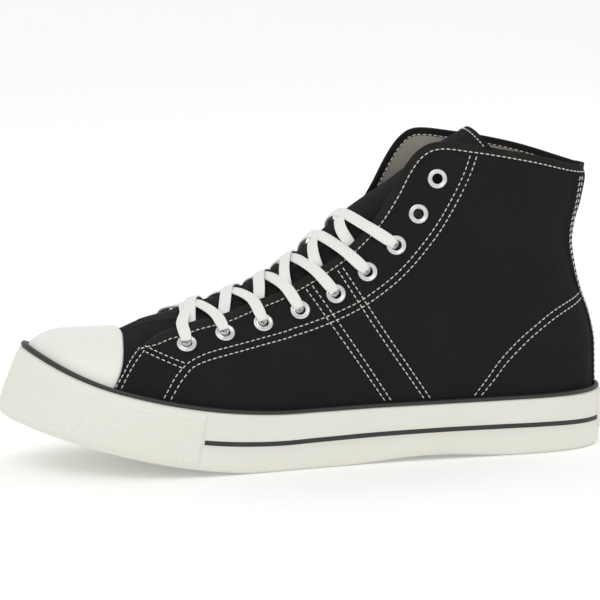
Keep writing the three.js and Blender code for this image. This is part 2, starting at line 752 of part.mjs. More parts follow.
// A flat lace strand swept through stops, lying flat on the direction of each.
function strand(stops) {
  const faces = [];
  const places = [];
  const rows = stops.map(({ at, normal }, index) => {
    const before = stops[Math.max(index - 1, 0)].at;
    const after = stops[Math.min(index + 1, stops.length - 1)].at;
    const run = after.clone().sub(before).normalize();
    const up = normal.clone().addScaledVector(run, -normal.dot(run)).normalize();
    const across = run.clone().cross(up);
    return [[-1, -1], [1, -1], [1, 1], [-1, 1]].map(([wide, high]) => {
      const corner = at.clone();
      corner.addScaledVector(across, (wide * LACE_WIDTH) / 2);
      corner.addScaledVector(up, (high * LACE_THICKNESS) / 2);
      places.push(corner.toArray());
      return places.length - 1;
    });
  });
  for (let i = 0; i + 1 < rows.length; i += 1) {
    for (let j = 0; j < 4; j += 1) {
      const k = (j + 1) % 4;
      faces.push([rows[i][j], rows[i][k], rows[i + 1][k]], [rows[i][j], rows[i + 1][k], rows[i + 1][j]]);
    }
  }
  const last = rows[rows.length - 1];
  faces.push([rows[0][0], rows[0][2], rows[0][1]], [rows[0][0], rows[0][3], rows[0][2]]);
  faces.push([last[0], last[1], last[2]], [last[0], last[2], last[3]]);
  return closedSolid(places, faces);
}

// Materials
const CANVAS = { color: '#232323', roughness: 0.95, metalness: 0 };
const LINING = { color: '#cfc9b8', roughness: 0.95, metalness: 0 };
const WHITE_RUBBER = { color: '#e6e4da', roughness: 0.6, metalness: 0 };
const DARK_RUBBER = { color: '#2b2a28', roughness: 0.6, metalness: 0 };
const LACE_COTTON = { color: '#eceae6', roughness: 0.9, metalness: 0 };
const EYELET_METAL = { color: '#c9cacb', roughness: 0.35, metalness: 1 };

const group = new THREE.Group();

function addPiece(name, solid, finish) {
  const { vertProperties, triVerts } = solid.getMesh();
  const geometry = new THREE.BufferGeometry();
  geometry.setAttribute('position', new THREE.BufferAttribute(new Float32Array(vertProperties), 3));
  geometry.setIndex(new THREE.BufferAttribute(new Uint32Array(triVerts), 1));
  geometry.computeVertexNormals();
  const mesh = new THREE.Mesh(geometry, new THREE.MeshStandardMaterial(finish));
  mesh.name = name;
  group.add(mesh);
}

const fixed = (value) => () => value;

function addSole() {
  const inner = fixed(FOXING_WALL);
  const lift = (x) => arch(x) + FOXING_LIFT;
  const bumperShare = stationShare(BUMPER_STATIONS + 0.5);
  const labelShare = stationShare(RIM_STEPS / 2 - LABEL_STATIONS - 0.5);
  const relief = (share) => (share < bumperShare && share > labelShare ? -STRIPE_RELIEF : 0);
  const foxing = rimBand([
    { inset: inner, height: lift },
    { inset: fixed(FOXING_UNDERCUT), height: lift },
    { inset: fixed(0), height: (x) => lift(x) + FOXING_EDGE },
    { inset: fixed(0), height: fixed(STRIPE_HEIGHT - STRIPE_WIDTH / 2) },
    { inset: relief, height: fixed(STRIPE_HEIGHT - STRIPE_WIDTH / 2 + STRIPE_SLOPE) },
    { inset: relief, height: fixed(STRIPE_HEIGHT + STRIPE_WIDTH / 2 - STRIPE_SLOPE) },
    { inset: fixed(0), height: fixed(STRIPE_HEIGHT + STRIPE_WIDTH / 2) },
    { inset: fixed(FOXING_LEAN), height: foxingTop },
    { inset: inner, height: foxingTop },
  ], 0, RIM_STEPS);
  addPiece('foxing', foxing, WHITE_RUBBER);

  const pipingBase = (x) => foxingTop(x) + GAP;
  const pipingTop = (x) => foxingTop(x) + GAP + PIPING_HEIGHT;
  const piping = rimBand([
    { inset: inner, height: pipingBase },
    { inset: fixed(0), height: pipingBase },
    { inset: fixed(PIPING_LEAN), height: pipingTop },
    { inset: inner, height: pipingTop },
  ], 0, RIM_STEPS);
  addPiece('foxing_piping', piping, DARK_RUBBER);

  const outsole = rimSlab(fixed(FOXING_WALL + GAP), arch, fixed(OUTSOLE_THICKNESS), SLAB_STEPS);
  const cuts = grooves();
  addPiece('outsole', cuts.reduce((body, cutter) => body.subtract(cutter), outsole), WHITE_RUBBER);

  const bumperTop = (x) => foxingTop(x) - BAND_DROP;
  const bumper = rimBand([
    { inset: fixed(-GAP), height: (x) => lift(x) + FOXING_EDGE },
    { inset: fixed(-GAP - BUMPER_THICKNESS), height: (x) => lift(x) + FOXING_EDGE + BAND_BEVEL },
    { inset: fixed(-GAP - BUMPER_THICKNESS), height: (x) => bumperTop(x) - BAND_BEVEL },
    { inset: fixed(-GAP), height: bumperTop },
  ], -BUMPER_STATIONS, BUMPER_STATIONS);
  addPiece('toe_bumper', bumper, WHITE_RUBBER);

  const label = rimBand([
    { inset: fixed(-GAP), height: fixed(LABEL_LIFT) },
    { inset: fixed(-GAP - LABEL_THICKNESS), height: fixed(LABEL_LIFT + BAND_BEVEL) },
    { inset: fixed(-GAP - LABEL_THICKNESS), height: fixed(SIDEWALL_HEIGHT - BAND_DROP - BAND_BEVEL) },
    { inset: fixed(-GAP), height: fixed(SIDEWALL_HEIGHT - BAND_DROP) },
  ], RIM_STEPS / 2 - LABEL_STATIONS, RIM_STEPS / 2 + LABEL_STATIONS);
  addPiece('heel_label', label, WHITE_RUBBER);
}

function addUpper() {
  const base = upperForm(0, FEATHER_HEIGHT);
  const raised = upperForm(QUARTER_STEP, FEATHER_HEIGHT).intersect(quarterCutter());
  const hollow = upperForm(-LINING_WALL, FEATHER_HEIGHT - 2);
  let upper = base.add(raised).subtract(hollow).subtract(openingCutter());
  for (const [x, height] of eyeletPlaces()) {
    for (const side of [OUTER, INNER]) {
      const place = surfacePoint(x, height, side, QUARTER_STEP);
      upper = upper.subtract(eyeletHole(place, surfaceNormal(x, height, side, QUARTER_STEP)));
    }
  }
  addPiece('upper', upper, CANVAS);

  const inside = upperForm(-LINING_WALL - GAP, FEATHER_HEIGHT - 2);
  addPiece('tongue', tongueForm().intersect(inside), CANVAS);

  const insoleInset = (share) => featherInset(share) + LINING_WALL + INSOLE_CLEARANCE;
  const insoleTop = fixed(FEATHER_HEIGHT + INSOLE_THICKNESS);
  addPiece('insole', rimSlab(insoleInset, fixed(FEATHER_HEIGHT), insoleTop, SLAB_STEPS), LINING);

  const capOuter = upperForm(GAP + CAP_THICKNESS, FEATHER_HEIGHT);
  const capInner = upperForm(GAP, FEATHER_HEIGHT - 2);
  addPiece('toe_cap', capOuter.subtract(capInner).intersect(capCutter()), WHITE_RUBBER);
}

// Strip up the heel: a band of the form, as wide as the strip and as high as the collar.
function backStay() {
  const shell = upperForm(QUARTER_STEP + GAP + BACK_STAY_THICKNESS, FEATHER_HEIGHT)
    .subtract(upperForm(QUARTER_STEP + GAP, FEATHER_HEIGHT - 2));
  const low = SIDEWALL_HEIGHT + PIPING_HEIGHT + 2 * GAP;
  const high = BACK_STAY_RISE * COLLAR_HEIGHT;
  const box = new THREE.BoxGeometry(HEEL_ROUND, BACK_STAY_WIDTH, high - low);
  box.translate(HEEL_END - HEEL_ROUND / 4, 0, (low + high) / 2);
  return shell.intersect(solidOf(box));
}

function addEyelets() {
  const names = { [OUTER]: 'outer', [INNER]: 'inner' };
  eyeletPlaces().forEach(([x, height], index) => {
    for (const side of [OUTER, INNER]) {
      const place = surfacePoint(x, height, side, QUARTER_STEP);
      const ring = eyeletRing(place, surfaceNormal(x, height, side, QUARTER_STEP));
      addPiece(`eyelet_${names[side]}_${index + 1}`, ring, EYELET_METAL);
    }
  });
}

// Lacing over the tongue. A strand comes from under one throat edge, between two eyelets,
// crosses the tongue and lies over the other edge and down to the next eyelet.
const LACE_FLOAT = 5 * GAP + EYELET_SHEET + LACE_THICKNESS / 2;
const LACE_LIFT = 2 * GAP + LACE_THICKNESS / 2;
const LACE_SHOULDER = TONGUE_WIDTH / 6;
const EXIT_SHARE = 0.3;
const ENTRY_SHARE = -0.12;

function edgeStop(index, shift) {
  const edge = sideLine(TOP_EDGE, 300);
  const [x, height] = eyeletPlaces()[index];
  const distance = (point) => Math.hypot(point[0] - x, point[1] - height);
  let nearest = 0;
  edge.forEach((point, at) => {
    if (distance(point) < distance(edge[nearest])) {
      nearest = at;
    }
  });
  let run = 0;
  const step = Math.sign(shift);
  while (run < Math.abs(shift) * EYELET_SPACING) {
    const here = edge[nearest];
    nearest += step;
    run += Math.hypot(edge[nearest][0] - here[0], edge[nearest][1] - here[1]);
  }
  return edge[nearest];
}

function overEyelet(index, side) {
  const [x, height] = eyeletPlaces()[index];
  const normal = surfaceNormal(x, height, side, QUARTER_STEP);
  return { at: surfacePoint(x, height, side, QUARTER_STEP).addScaledVector(normal, LACE_FLOAT), normal };
}

function overEdge(index, side, shift) {
  const [x, height] = edgeStop(index, shift);
  const normal = surfaceNormal(x, height, side, QUARTER_STEP);
  normal.z += 0.5;
  normal.normalize();
  const lift = LACE_LIFT + 2 * GAP;
  return { at: surfacePoint(x, height, side, QUARTER_STEP).addScaledVector(normal, lift), normal };
}

// How far the arched tongue falls away to a side.
function tongueDrop(y) {
  return TONGUE_RADIUS - Math.sqrt(TONGUE_RADIUS ** 2 - y ** 2);
}

function overTongue(near, y) {
  const line = sideLine(TONGUE_LINE, 300).map((point) => bend(...point));
  const distance = (point) => Math.hypot(point[0] - near.x, point[1] - near.z);
  let nearest = 1;
  line.forEach((point, at) => {
    if (at > 0 && at + 1 < line.length && distance(point) < distance(line[nearest])) {
      nearest = at;
    }
  });
  const [before, here, after] = [line[nearest - 1], line[nearest], line[nearest + 1]];
  const normal = new THREE.Vector3(before[1] - after[1], 0, after[0] - before[0]).normalize();
  const lift = LACE_LIFT + GAP - tongueDrop(y);
  const at = new THREE.Vector3(here[0], y, here[1]).addScaledVector(normal, lift);
  return { at, normal: normal.clone().setY(y / TONGUE_RADIUS).normalize() };
}

function laceCrossing(index) {
  const strands = [OUTER, INNER].map((side) => {
    const eyelet = overEyelet(index + 1, side);
    const entry = overEdge(index + 1, side, ENTRY_SHARE);
    const exit = overEdge(index, -side, EXIT_SHARE);
    const crossing = entry.at.clone().lerp(exit.at, 0.5);
    crossing.z += tongueDrop(entry.at.y);
    const middle = overTongue(crossing, 0);
    const shoulder = overTongue(crossing.clone().lerp(entry.at, 0.4), side * LACE_SHOULDER);
    const end = overTongue(crossing.clone().lerp(exit.at, 0.6), -side * LACE_SHOULDER);
    return strand([eyelet, entry, shoulder, middle, end]);
  });
  return strands[0].add(strands[1]);
}

function laceBar() {
  const [outer, inner] = [OUTER, INNER].map((side) => [overEyelet(0, side), overEdge(0, side, 0.01)]);
  const between = outer[1].at.clone();
  between.z += tongueDrop(between.y);
  const middle = overTongue(between, 0);
  return strand([outer[0], outer[1], middle, inner[1], inner[0]]);
}

function addLaces() {
  addPiece('lace_bar', laceBar(), LACE_COTTON);
  for (let i = 0; i + 1 < EYELETS_LACED; i += 1) {
    addPiece(`lace_crossing_${i + 1}`, laceCrossing(i), LACE_COTTON);
  }
}

addSole();
addUpper();
addPiece('back_stay', backStay(), CANVAS);
addEyelets();
addLaces();

const bounds = new THREE.Box3().setFromObject(group);
const middle = bounds.getCenter(new THREE.Vector3());
group.position.set(-middle.x, -middle.y, -bounds.min.z);

export default group;
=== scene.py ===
"""High top canvas sneaker for the left foot: its looks, floor, light and camera.

Lengths are millimetres on the shoe's own axes: heel towards +X, toe towards -X, outer
side towards -Y, up +Z. Most shapes are worked out over a flat sole, as a place along
the shoe and a height, and the toe spring then bends them up. `build_piece` turns the
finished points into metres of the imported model.
"""

from __future__ import annotations

import logging
import math
from dataclasses import dataclass, field
from enum import Enum

import bmesh
import bpy
import numpy as np
from mathutils import Matrix, Vector


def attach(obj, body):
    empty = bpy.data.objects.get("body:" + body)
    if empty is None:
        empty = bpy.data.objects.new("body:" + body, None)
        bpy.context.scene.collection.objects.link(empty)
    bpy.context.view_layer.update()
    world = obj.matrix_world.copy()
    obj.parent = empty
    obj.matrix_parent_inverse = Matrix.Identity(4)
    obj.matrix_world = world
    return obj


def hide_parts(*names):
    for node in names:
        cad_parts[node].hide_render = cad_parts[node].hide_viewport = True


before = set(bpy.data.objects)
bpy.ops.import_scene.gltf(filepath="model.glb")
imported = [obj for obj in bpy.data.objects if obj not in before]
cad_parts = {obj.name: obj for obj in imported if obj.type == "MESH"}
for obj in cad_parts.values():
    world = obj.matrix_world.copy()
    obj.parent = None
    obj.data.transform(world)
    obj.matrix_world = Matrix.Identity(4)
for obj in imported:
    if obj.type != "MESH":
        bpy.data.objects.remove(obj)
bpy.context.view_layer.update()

log = logging.getLogger("sneaker")
ROOT = "root"
MODEL_SHIFT = np.array([-0.75, 0.68, 0.0])
PHOTO_PIXELS = 600
WELD_PER_MM = 400
WELD_OFFSET = 0.137
KEY_BITS = 20


class Side(Enum):
    """The two sides of a left shoe, by the sign of their Y."""

    OUTER = -1
    INNER = 1


class Cover(Enum):
    """Which cloth a cell of the upper is made of."""

    CANVAS = 0
    LINING = 1
    TAPE = 2


# Helpers for numbers and meshes.


def smooth(low: float, high: float, value: np.ndarray) -> np.ndarray:
    """Rises from 0 at low to 1 at high, level at both ends."""
    share = np.clip((value - low) / (high - low), 0.0, 1.0)
    return share * share * (3.0 - 2.0 * share)


def lerp(start: np.ndarray, end: np.ndarray, share: np.ndarray) -> np.ndarray:
    """Goes from start to end as the share goes from 0 to 1."""
    return start + (end - start) * share


def unit(vectors: np.ndarray) -> np.ndarray:
    """Scales vectors to length one."""
    return vectors / np.maximum(np.linalg.norm(vectors, axis=-1, keepdims=True), 1e-9)


class Table:
    """A curve through rows of position and value that never overshoots a row."""

    def __init__(self, rows: list[tuple[float, float]]) -> None:
        """Fits the slopes.

        Args:
            rows: Position and value, in any order of positions.
        """
        at, value = np.array(sorted(rows), dtype=float).T
        steps = np.diff(value) / np.diff(at)
        slopes = np.zeros(len(at))
        slopes[0], slopes[-1] = steps[0], steps[-1]
        before, after = steps[:-1], steps[1:]
        same = before * after > 0
        slopes[1:-1][same] = (2 * before * after)[same] / (before + after)[same]
        self.at, self.value, self.slopes = at, value, slopes

    def __call__(self, position: np.ndarray) -> np.ndarray:
        """Value at a position: a cubic between rows, from both ends' values and slopes.

        Args:
            position: Places along the table.

        Returns:
            The values there.
        """
        place = np.clip(position, self.at[0], self.at[-1])
        i = np.clip(np.searchsorted(self.at, place) - 1, 0, len(self.at) - 2)
        width = self.at[i + 1] - self.at[i]
        t = (place - self.at[i]) / width
        rest = 1 - t
        ends = rest * rest * (1 + 2 * t) * self.value[i] + t * t * (3 - 2 * t) * self.value[i + 1]
        return ends + width * t * rest * (rest * self.slopes[i] - t * self.slopes[i + 1])


def distances(points: np.ndarray) -> np.ndarray:
    """Distance along a path at each of its points, measured on their first three columns."""
    return np.concatenate([[0.0], np.cumsum(np.linalg.norm(np.diff(points[:, :3], axis=0), axis=1))])


def even(points: np.ndarray, count: int) -> np.ndarray:
    """Resamples a path to points at even distances."""
    run = distances(points)
    at = np.linspace(0.0, run[-1], count)
    return np.stack([np.interp(at, run, column) for column in points.T], axis=1)


def smooth_path(points: list, count: int, fine: int = 24) -> np.ndarray:
    """A smooth line through points: a centripetal spline, whose knots are the roots of the
    distances, each stretch blended from its four neighbours.

    Args:
        points: The places that the line goes through, with any number of columns.
        count: How many evenly spaced points to return.
        fine: Samples in each stretch before the line is made even.

    Returns:
        The points of the line, one a row.
    """
    p = np.asarray(points, dtype=float)
    p = np.vstack([2 * p[0] - p[1], p, 2 * p[-1] - p[-2]])
    gaps = np.maximum(np.linalg.norm(np.diff(p[:, :3], axis=0), axis=1), 1e-6)
    knots = np.concatenate([[0.0], np.cumsum(np.sqrt(gaps))])
    t0, t1, t2, t3 = (knots[k : len(knots) - 3 + k, None, None] for k in range(4))
    a, b, c, d = (p[k : len(p) - 3 + k, None, :] for k in range(4))
    t = lerp(t1, t2, np.linspace(0, 1, fine)[None, :, None])
    ab = lerp(a, b, (t - t0) / (t1 - t0))
    bc = lerp(b, c, (t - t1) / (t2 - t1))
    cd = lerp(c, d, (t - t2) / (t3 - t2))
    line = lerp(
        lerp(ab, bc, (t - t0) / (t2 - t0)), lerp(bc, cd, (t - t1) / (t3 - t1)), (t - t1) / (t2 - t1)
    )
    return even(line.reshape(-1, p.shape[1]), count)


def signed_distance(points: np.ndarray, line: np.ndarray) -> np.ndarray:
    """Distance from points to a line in the side view, positive on the line's left.

    Args:
        points: Places, any shape with two columns last.
        line: The line's corners.

    Returns:
        The distance to the nearest stretch, with the sign of the side of it.
    """
    flat = points.reshape(-1, 1, 2)
    start, step = line[None, :-1], np.diff(line, axis=0)[None]
    share = np.clip(((flat - start) * step).sum(-1) / (step**2).sum(-1), 0, 1)
    away = flat - (start + share[..., None] * step)
    distance = np.linalg.norm(away, axis=-1)
    nearest = distance.argmin(axis=1)
    rows = np.arange(len(nearest))
    near_step, near_away = step[0, nearest], away[rows, nearest]
    left = near_step[:, 0] * near_away[:, 1] - near_step[:, 1] * near_away[:, 0]
    return (np.where(left >= 0, 1, -1) * distance[rows, nearest]).reshape(points.shape[:-1])


def grid_normals(points: np.ndarray) -> np.ndarray:
    """Directions square to a grid of points, from its differences along rows and columns."""
    return unit(np.cross(np.gradient(points, axis=0), np.gradient(points, axis=1)))


def cloth_lengths(points: np.ndarray) -> np.ndarray:
    """Distances along the surface of a grid, as two columns in millimetres: along the
    columns from the first one, and along the rows from the first one.

    Args:
        points: Grid of points, rows by columns by three.

    Returns:
        Rows by columns by two.
    """
    across = np.zeros(points.shape[:2])
    across[:, 1:] = np.cumsum(np.linalg.norm(np.diff(points, axis=1), axis=2), axis=1)
    down = np.zeros(points.shape[:2])
    down[1:] = np.cumsum(np.linalg.norm(np.diff(points, axis=0), axis=2), axis=0)
    return np.stack([across, down], axis=2)


@dataclass
class Cells:
    """Four-cornered cells of a surface, welded by place when the piece is built."""

    corners: np.ndarray
    cloth: np.ndarray
    finish: np.ndarray


def sheet_cells(points: np.ndarray, cloth: np.ndarray, finish: np.ndarray | int = 0) -> Cells:
    """Cells of a grid of points.

    Args:
        points: Rows by columns by three.
        cloth: Rows by columns by two, the pattern's place.
        finish: Index of the finish, for all cells or one for each.

    Returns:
        One cell between each two rows and columns.
    """

    def cut(values: np.ndarray) -> np.ndarray:
        """The four corners of each cell."""
        parts = [values[:-1, :-1], values[1:, :-1], values[1:, 1:], values[:-1, 1:]]
        return np.stack(parts, axis=2).reshape(-1, 4, values.shape[-1])

    corners = cut(points)
    finishes = np.broadcast_to(np.asarray(finish), (points.shape[0] - 1, points.shape[1] - 1)).reshape(-1)
    return Cells(corners, cut(cloth), finishes.copy())


def wall_cells(
    outer: np.ndarray, inner: np.ndarray, cloth: np.ndarray, finish: tuple = (0, 0),
    keep: np.ndarray | None = None, open_top: bool = False,
) -> list[Cells]:
    """A wall between two grids, with its edges and the edges of its holes closed.

    Args:
        outer: Grid of the outside.
        inner: Grid of the inside, of the same rows and columns.
        cloth: The pattern's place on both.
        finish: Finish of the outside and of the inside, each a number or one for each cell.
        keep: True for each cell that is there; all of them without it.
        open_top: Leaves the edge of the last row open, where a fold joins it.

    Returns:
        The cells of both sides and of every edge.
    """
    if keep is None:
        keep = np.ones((outer.shape[0] - 1, outer.shape[1] - 1), dtype=bool)
    mask = keep.reshape(-1)
    made = []
    for points, index in ((outer, finish[0]), (inner, finish[1])):
        cells = sheet_cells(points, cloth, index)
        made.append(Cells(cells.corners[mask], cells.cloth[mask], cells.finish[mask]))
    rows, columns = keep.shape
    padded = np.zeros((rows + 2, columns + 2), dtype=bool)
    padded[1:-1, 1:-1] = keep
    upright = np.argwhere(padded[1:-1, 1:] != padded[1:-1, :-1])
    level = np.argwhere(padded[1:, 1:-1] != padded[:-1, 1:-1])
    if open_top:
        level = level[level[:, 0] < rows]
    for edges, step in ((upright, (1, 0)), (level, (0, 1))):
        here = (edges[:, 0], edges[:, 1])
        there = (edges[:, 0] + step[0], edges[:, 1] + step[1])
        corners = np.stack([outer[here], outer[there], inner[there], inner[here]], axis=1)
        places = np.stack([cloth[here], cloth[there], cloth[there], cloth[here]], axis=1)
        made.append(Cells(corners, places, np.zeros(len(edges), dtype=int)))
    return made


def build_piece(
    name: str, parts: list[Cells], finishes: list, stands_for: tuple = ()
) -> bpy.types.Object:
    """Welds cells into one mesh in the model's metres and dresses it.

    Args:
        name: The piece's name.
        parts: Its cells, in millimetres.
        finishes: The materials that the cells' finish numbers mean.
        stands_for: CAD nodes that the piece replaces.

    Returns:
        The new object, with faces outwards.
    """
    corners = np.concatenate([part.corners for part in parts]).reshape(-1, 3)
    cloth = np.concatenate([part.cloth for part in parts]).reshape(-1, 2)
    finish = np.concatenate([part.finish for part in parts])
    # Corners are one when they round to one place; the offset keeps that off the middle plane.
    keys = np.round(corners * WELD_PER_MM + WELD_OFFSET).astype(np.int64) + 2 ** (KEY_BITS - 1)
    packed = (keys[:, 0] << 2 * KEY_BITS) | (keys[:, 1] << KEY_BITS) | keys[:, 2]
    _, first, index = np.unique(packed, return_index=True, return_inverse=True)
    quads = index.reshape(-1, 4)
    same = quads == np.roll(quads, -1, axis=1)
    crossed = (quads[:, 0] == quads[:, 2]) | (quads[:, 1] == quads[:, 3])
    whole = (same.sum(axis=1) == 0) & ~crossed
    three = (same.sum(axis=1) == 1) & ~crossed
    kept = [np.arange(4)[None].repeat(whole.sum(), 0) + 4 * np.flatnonzero(whole)[:, None]]
    if three.any():
        order = np.argsort(same[three], axis=1, kind="stable")[:, :3]
        kept.append(np.sort(order, axis=1) + 4 * np.flatnonzero(three)[:, None])
    loops = np.concatenate([part.reshape(-1) for part in kept])
    totals = np.concatenate([np.full(len(part), part.shape[1]) for part in kept])
    kinds = np.concatenate([finish[whole], finish[three]])
    mesh = bpy.data.meshes.new(name)
    mesh.vertices.add(len(first))
    mesh.vertices.foreach_set("co", ((corners[first] + MODEL_SHIFT) / 1000).astype(np.float32).ravel())
    mesh.loops.add(len(loops))
    mesh.loops.foreach_set("vertex_index", index[loops].astype(np.int32))
    mesh.polygons.add(len(totals))
    mesh.polygons.foreach_set("loop_start", np.concatenate([[0], np.cumsum(totals)[:-1]]).astype(np.int32))
    mesh.polygons.foreach_set("loop_total", totals.astype(np.int32))
    mesh.polygons.foreach_set("material_index", kinds.astype(np.int32))
    mesh.polygons.foreach_set("use_smooth", np.ones(len(totals), dtype=bool))
    layer = mesh.uv_layers.new(name="cloth")
    layer.data.foreach_set("uv", cloth[loops].astype(np.float32).ravel())
    mesh.update(calc_edges=True)
    mesh.validate()
    shell = bmesh.new()
    shell.from_mesh(mesh)
    bmesh.ops.recalc_face_normals(shell, faces=shell.faces)
    shell.to_mesh(mesh)
    shell.free()
    for finish_material in finishes:
        mesh.materials.append(finish_material)
    piece = bpy.data.objects.new(name, mesh)
    bpy.context.collection.objects.link(piece)
    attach(piece, ROOT)
    if stands_for:
        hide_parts(*stands_for)
    log.info("%s: %d faces", name, len(mesh.polygons))
    return piece


# The form that every piece follows.


@dataclass(frozen=True)
class ShoeForm:
    """The last and sole outline that part and looks share, over a flat sole."""

    sole_length: float = 301.0
    ball_width: float = 100.0
    heel_width: float = 74.0
    sidewall_height: float = 27.7
    sidewall_toe_rise: float = 5.0
    toe_spring: float = 28.5
    spring_share: float = 0.54
    spring_power: float = 1.75
    arch_rise: float = 2.2
    foxing_wall: float = 2.4
    feather_side: float = 4.05
    feather_toe: float = 4.8
    collar_height: float = 155.0
    collar_tilt: float = 4.0
    shaft_width: float = 60.0
    heel_round: float = 56.0
    shoulder_depth: float = 5.5
    crown_power: float = 2.2

    # Share of the length from the heel, half width of the outer and of the inner side.
    PLAN = (
        (0, 74, 74), (0.06, 62.9, 62.9), (0.12, 54.02, 54.02), (0.2, 45.88, 44.4), (0.3, 41.44, 37),
        (0.4, 40, 32), (0.5, 42.5, 32.5), (0.6, 48, 39.5), (0.72, 56.5, 53.5), (0.85, 62.5, 66.5),
        (0.94, 63, 75), (1, 54, 79),
    )
    # Share of the length from the heel, height of the ridge.
    RIDGE = (
        (0.289, 209.24), (0.349, 178.22), (0.385, 150.32), (0.434, 125.54), (0.467, 114.02), (0.51, 102.2),
        (0.546, 94.81), (0.606, 87.5), (0.645, 82.75), (0.691, 77.33), (0.746, 70.4), (0.811, 60.23),
        (0.847, 53), (0.887, 49.56), (0.919, 46.91), (0.949, 43.88), (0.972, 39.22), (0.981, 35.78),
        (0.985, 32.33),
    )
    # Height and setback of the back line of the heel.
    BACK = (
        (12.4, 0), (49.6, 0.2), (65.1, 2.8), (77.5, 7), (89.9, 9.8), (100.75, 11.1), (108.5, 10.2),
        (120.9, 6.6), (134.85, 3.8), (175.15, 0.5),
    )

    def __post_init__(self) -> None:
        """Fits the tables' curves once."""
        object.__setattr__(self, "outer_plan", Table([(row[0], row[1]) for row in self.PLAN]))
        object.__setattr__(self, "inner_plan", Table([(row[0], row[2]) for row in self.PLAN]))
        object.__setattr__(self, "ridge_curve", Table(list(self.RIDGE)))
        object.__setattr__(self, "back_curve", Table(list(self.BACK)))

    def share(self, x: np.ndarray) -> np.ndarray:
        """Share of the sole's length from the heel."""
        return (self.sole_length / 2 - x) / self.sole_length

    def bend(self, flat: np.ndarray) -> np.ndarray:
        """Bends points up by the toe spring: the flat sole becomes a curve that lifts as a
        power of the distance past its start, and each height stands square to it.

        Args:
            flat: Places in the side view: along the shoe and height.

        Returns:
            The points on the curved sole.
        """
        start = self.sole_length * (0.5 - self.spring_share)
        reach = start + self.sole_length / 2
        share = np.maximum(start - flat[..., 0], 0.0) / reach
        lift = self.toe_spring * share**self.spring_power
        slope = -self.toe_spring * self.spring_power * share ** (self.spring_power - 1) / reach
        run = np.hypot(slope, 1.0)
        x = flat[..., 0] - flat[..., 2] * slope / run
        return np.stack([x, flat[..., 1], lift + flat[..., 2] / run], axis=-1)

    def fullness(self, share: np.ndarray, side: np.ndarray) -> np.ndarray:
        """Half width of the plan's ellipse on a side."""
        return np.where(np.asarray(side) < 0, self.outer_plan(share), self.inner_plan(share))

    def half_plan(self, share: np.ndarray, side: np.ndarray) -> np.ndarray:
        """Half width of the sole: an ellipse whose fullness changes along it."""
        at = np.clip(share, 0, 1)
        return 2 * np.sqrt(at * (1 - at)) * self.fullness(at, side)

    def inset_share(self, share: np.ndarray, side: np.ndarray, inset: np.ndarray) -> np.ndarray:
        """Share of the half width that is left inside an inset."""
        widest = lerp(self.heel_width, self.ball_width, smooth(0.3, 0.6, share)) / 2
        return 1 - inset / np.minimum(widest, self.fullness(share, side))

    def rim(self, turn: np.ndarray, inset: np.ndarray) -> np.ndarray:
        """Places on the rim of the sole: turn 0 is the toe, 1 the heel, 2 the toe again.

        Args:
            turn: Turns round the rim.
            inset: Distance inside the rim.

        Returns:
            Places along and across the shoe.
        """
        share = (1 + np.cos(np.pi * turn)) / 2
        side = np.where(np.mod(turn, 2) < 1, -1, 1)
        x = lerp(self.sole_length / 2 - inset, -self.sole_length / 2 + inset, share)
        return np.stack(
            [x, side * self.half_plan(share, side) * self.inset_share(share, side, inset)], axis=-1
        )

    def arch(self, x: np.ndarray) -> np.ndarray:
        """Rise of the waist off the floor."""
        away = np.clip((self.share(x) - 0.315) / 0.155, -1, 1)
        return self.arch_rise * np.cos(np.pi / 2 * away) ** 2

    def foxing_top(self, x: np.ndarray) -> np.ndarray:
        """Height of the sidewall's top edge."""
        past = np.maximum(self.share(x) - 0.85, 0) / 0.15
        return self.sidewall_height + self.sidewall_toe_rise * past**2

    def feather(self, share: np.ndarray) -> np.ndarray:
        """Inset of the upper's bottom edge from the rim."""
        return lerp(self.feather_side, self.feather_toe, smooth(0.7, 0.85, share))

    def back_x(self, height: np.ndarray, grow: np.ndarray) -> np.ndarray:
        """Place of the back line at a height."""
        return self.sole_length / 2 - self.feather_side - self.back_curve(height) + grow

    def toe_x(self, grow: np.ndarray) -> np.ndarray:
        """Place of the nose."""
        return -self.sole_length / 2 + self.feather_toe - grow

    def ridge(self, x: np.ndarray, grow: np.ndarray) -> np.ndarray:
        """Height of the ridge: grown, it is the highest reach of a disc rolled along the
        line; shrunk, it is lowered square to its slope.

        Args:
            x: Places along the shoe.
            grow: Distance outside the form.

        Returns:
            The heights.
        """
        x, grow = np.broadcast_arrays(np.asarray(x, dtype=float), np.asarray(grow, dtype=float))
        share, step = self.share(x), 0.004
        rise = self.ridge_curve(share - step) - self.ridge_curve(share + step)
        lowered = self.ridge_curve(share) + grow * np.hypot(rise / (2 * step * self.sole_length), 1)
        radius, nose = np.maximum(grow, 0), self.toe_x(0.0)
        rolled = np.full(x.shape, -1.0)
        for turn in np.sin(np.linspace(-np.pi / 2, np.pi / 2, 13)):
            place = np.maximum(x + turn * radius, nose)
            height = np.sqrt(np.maximum(radius**2 - (place - x) ** 2, 0))
            rolled = np.maximum(rolled, self.ridge_curve(self.share(place)) + height)
        return np.where(grow > 0, rolled, lowered)

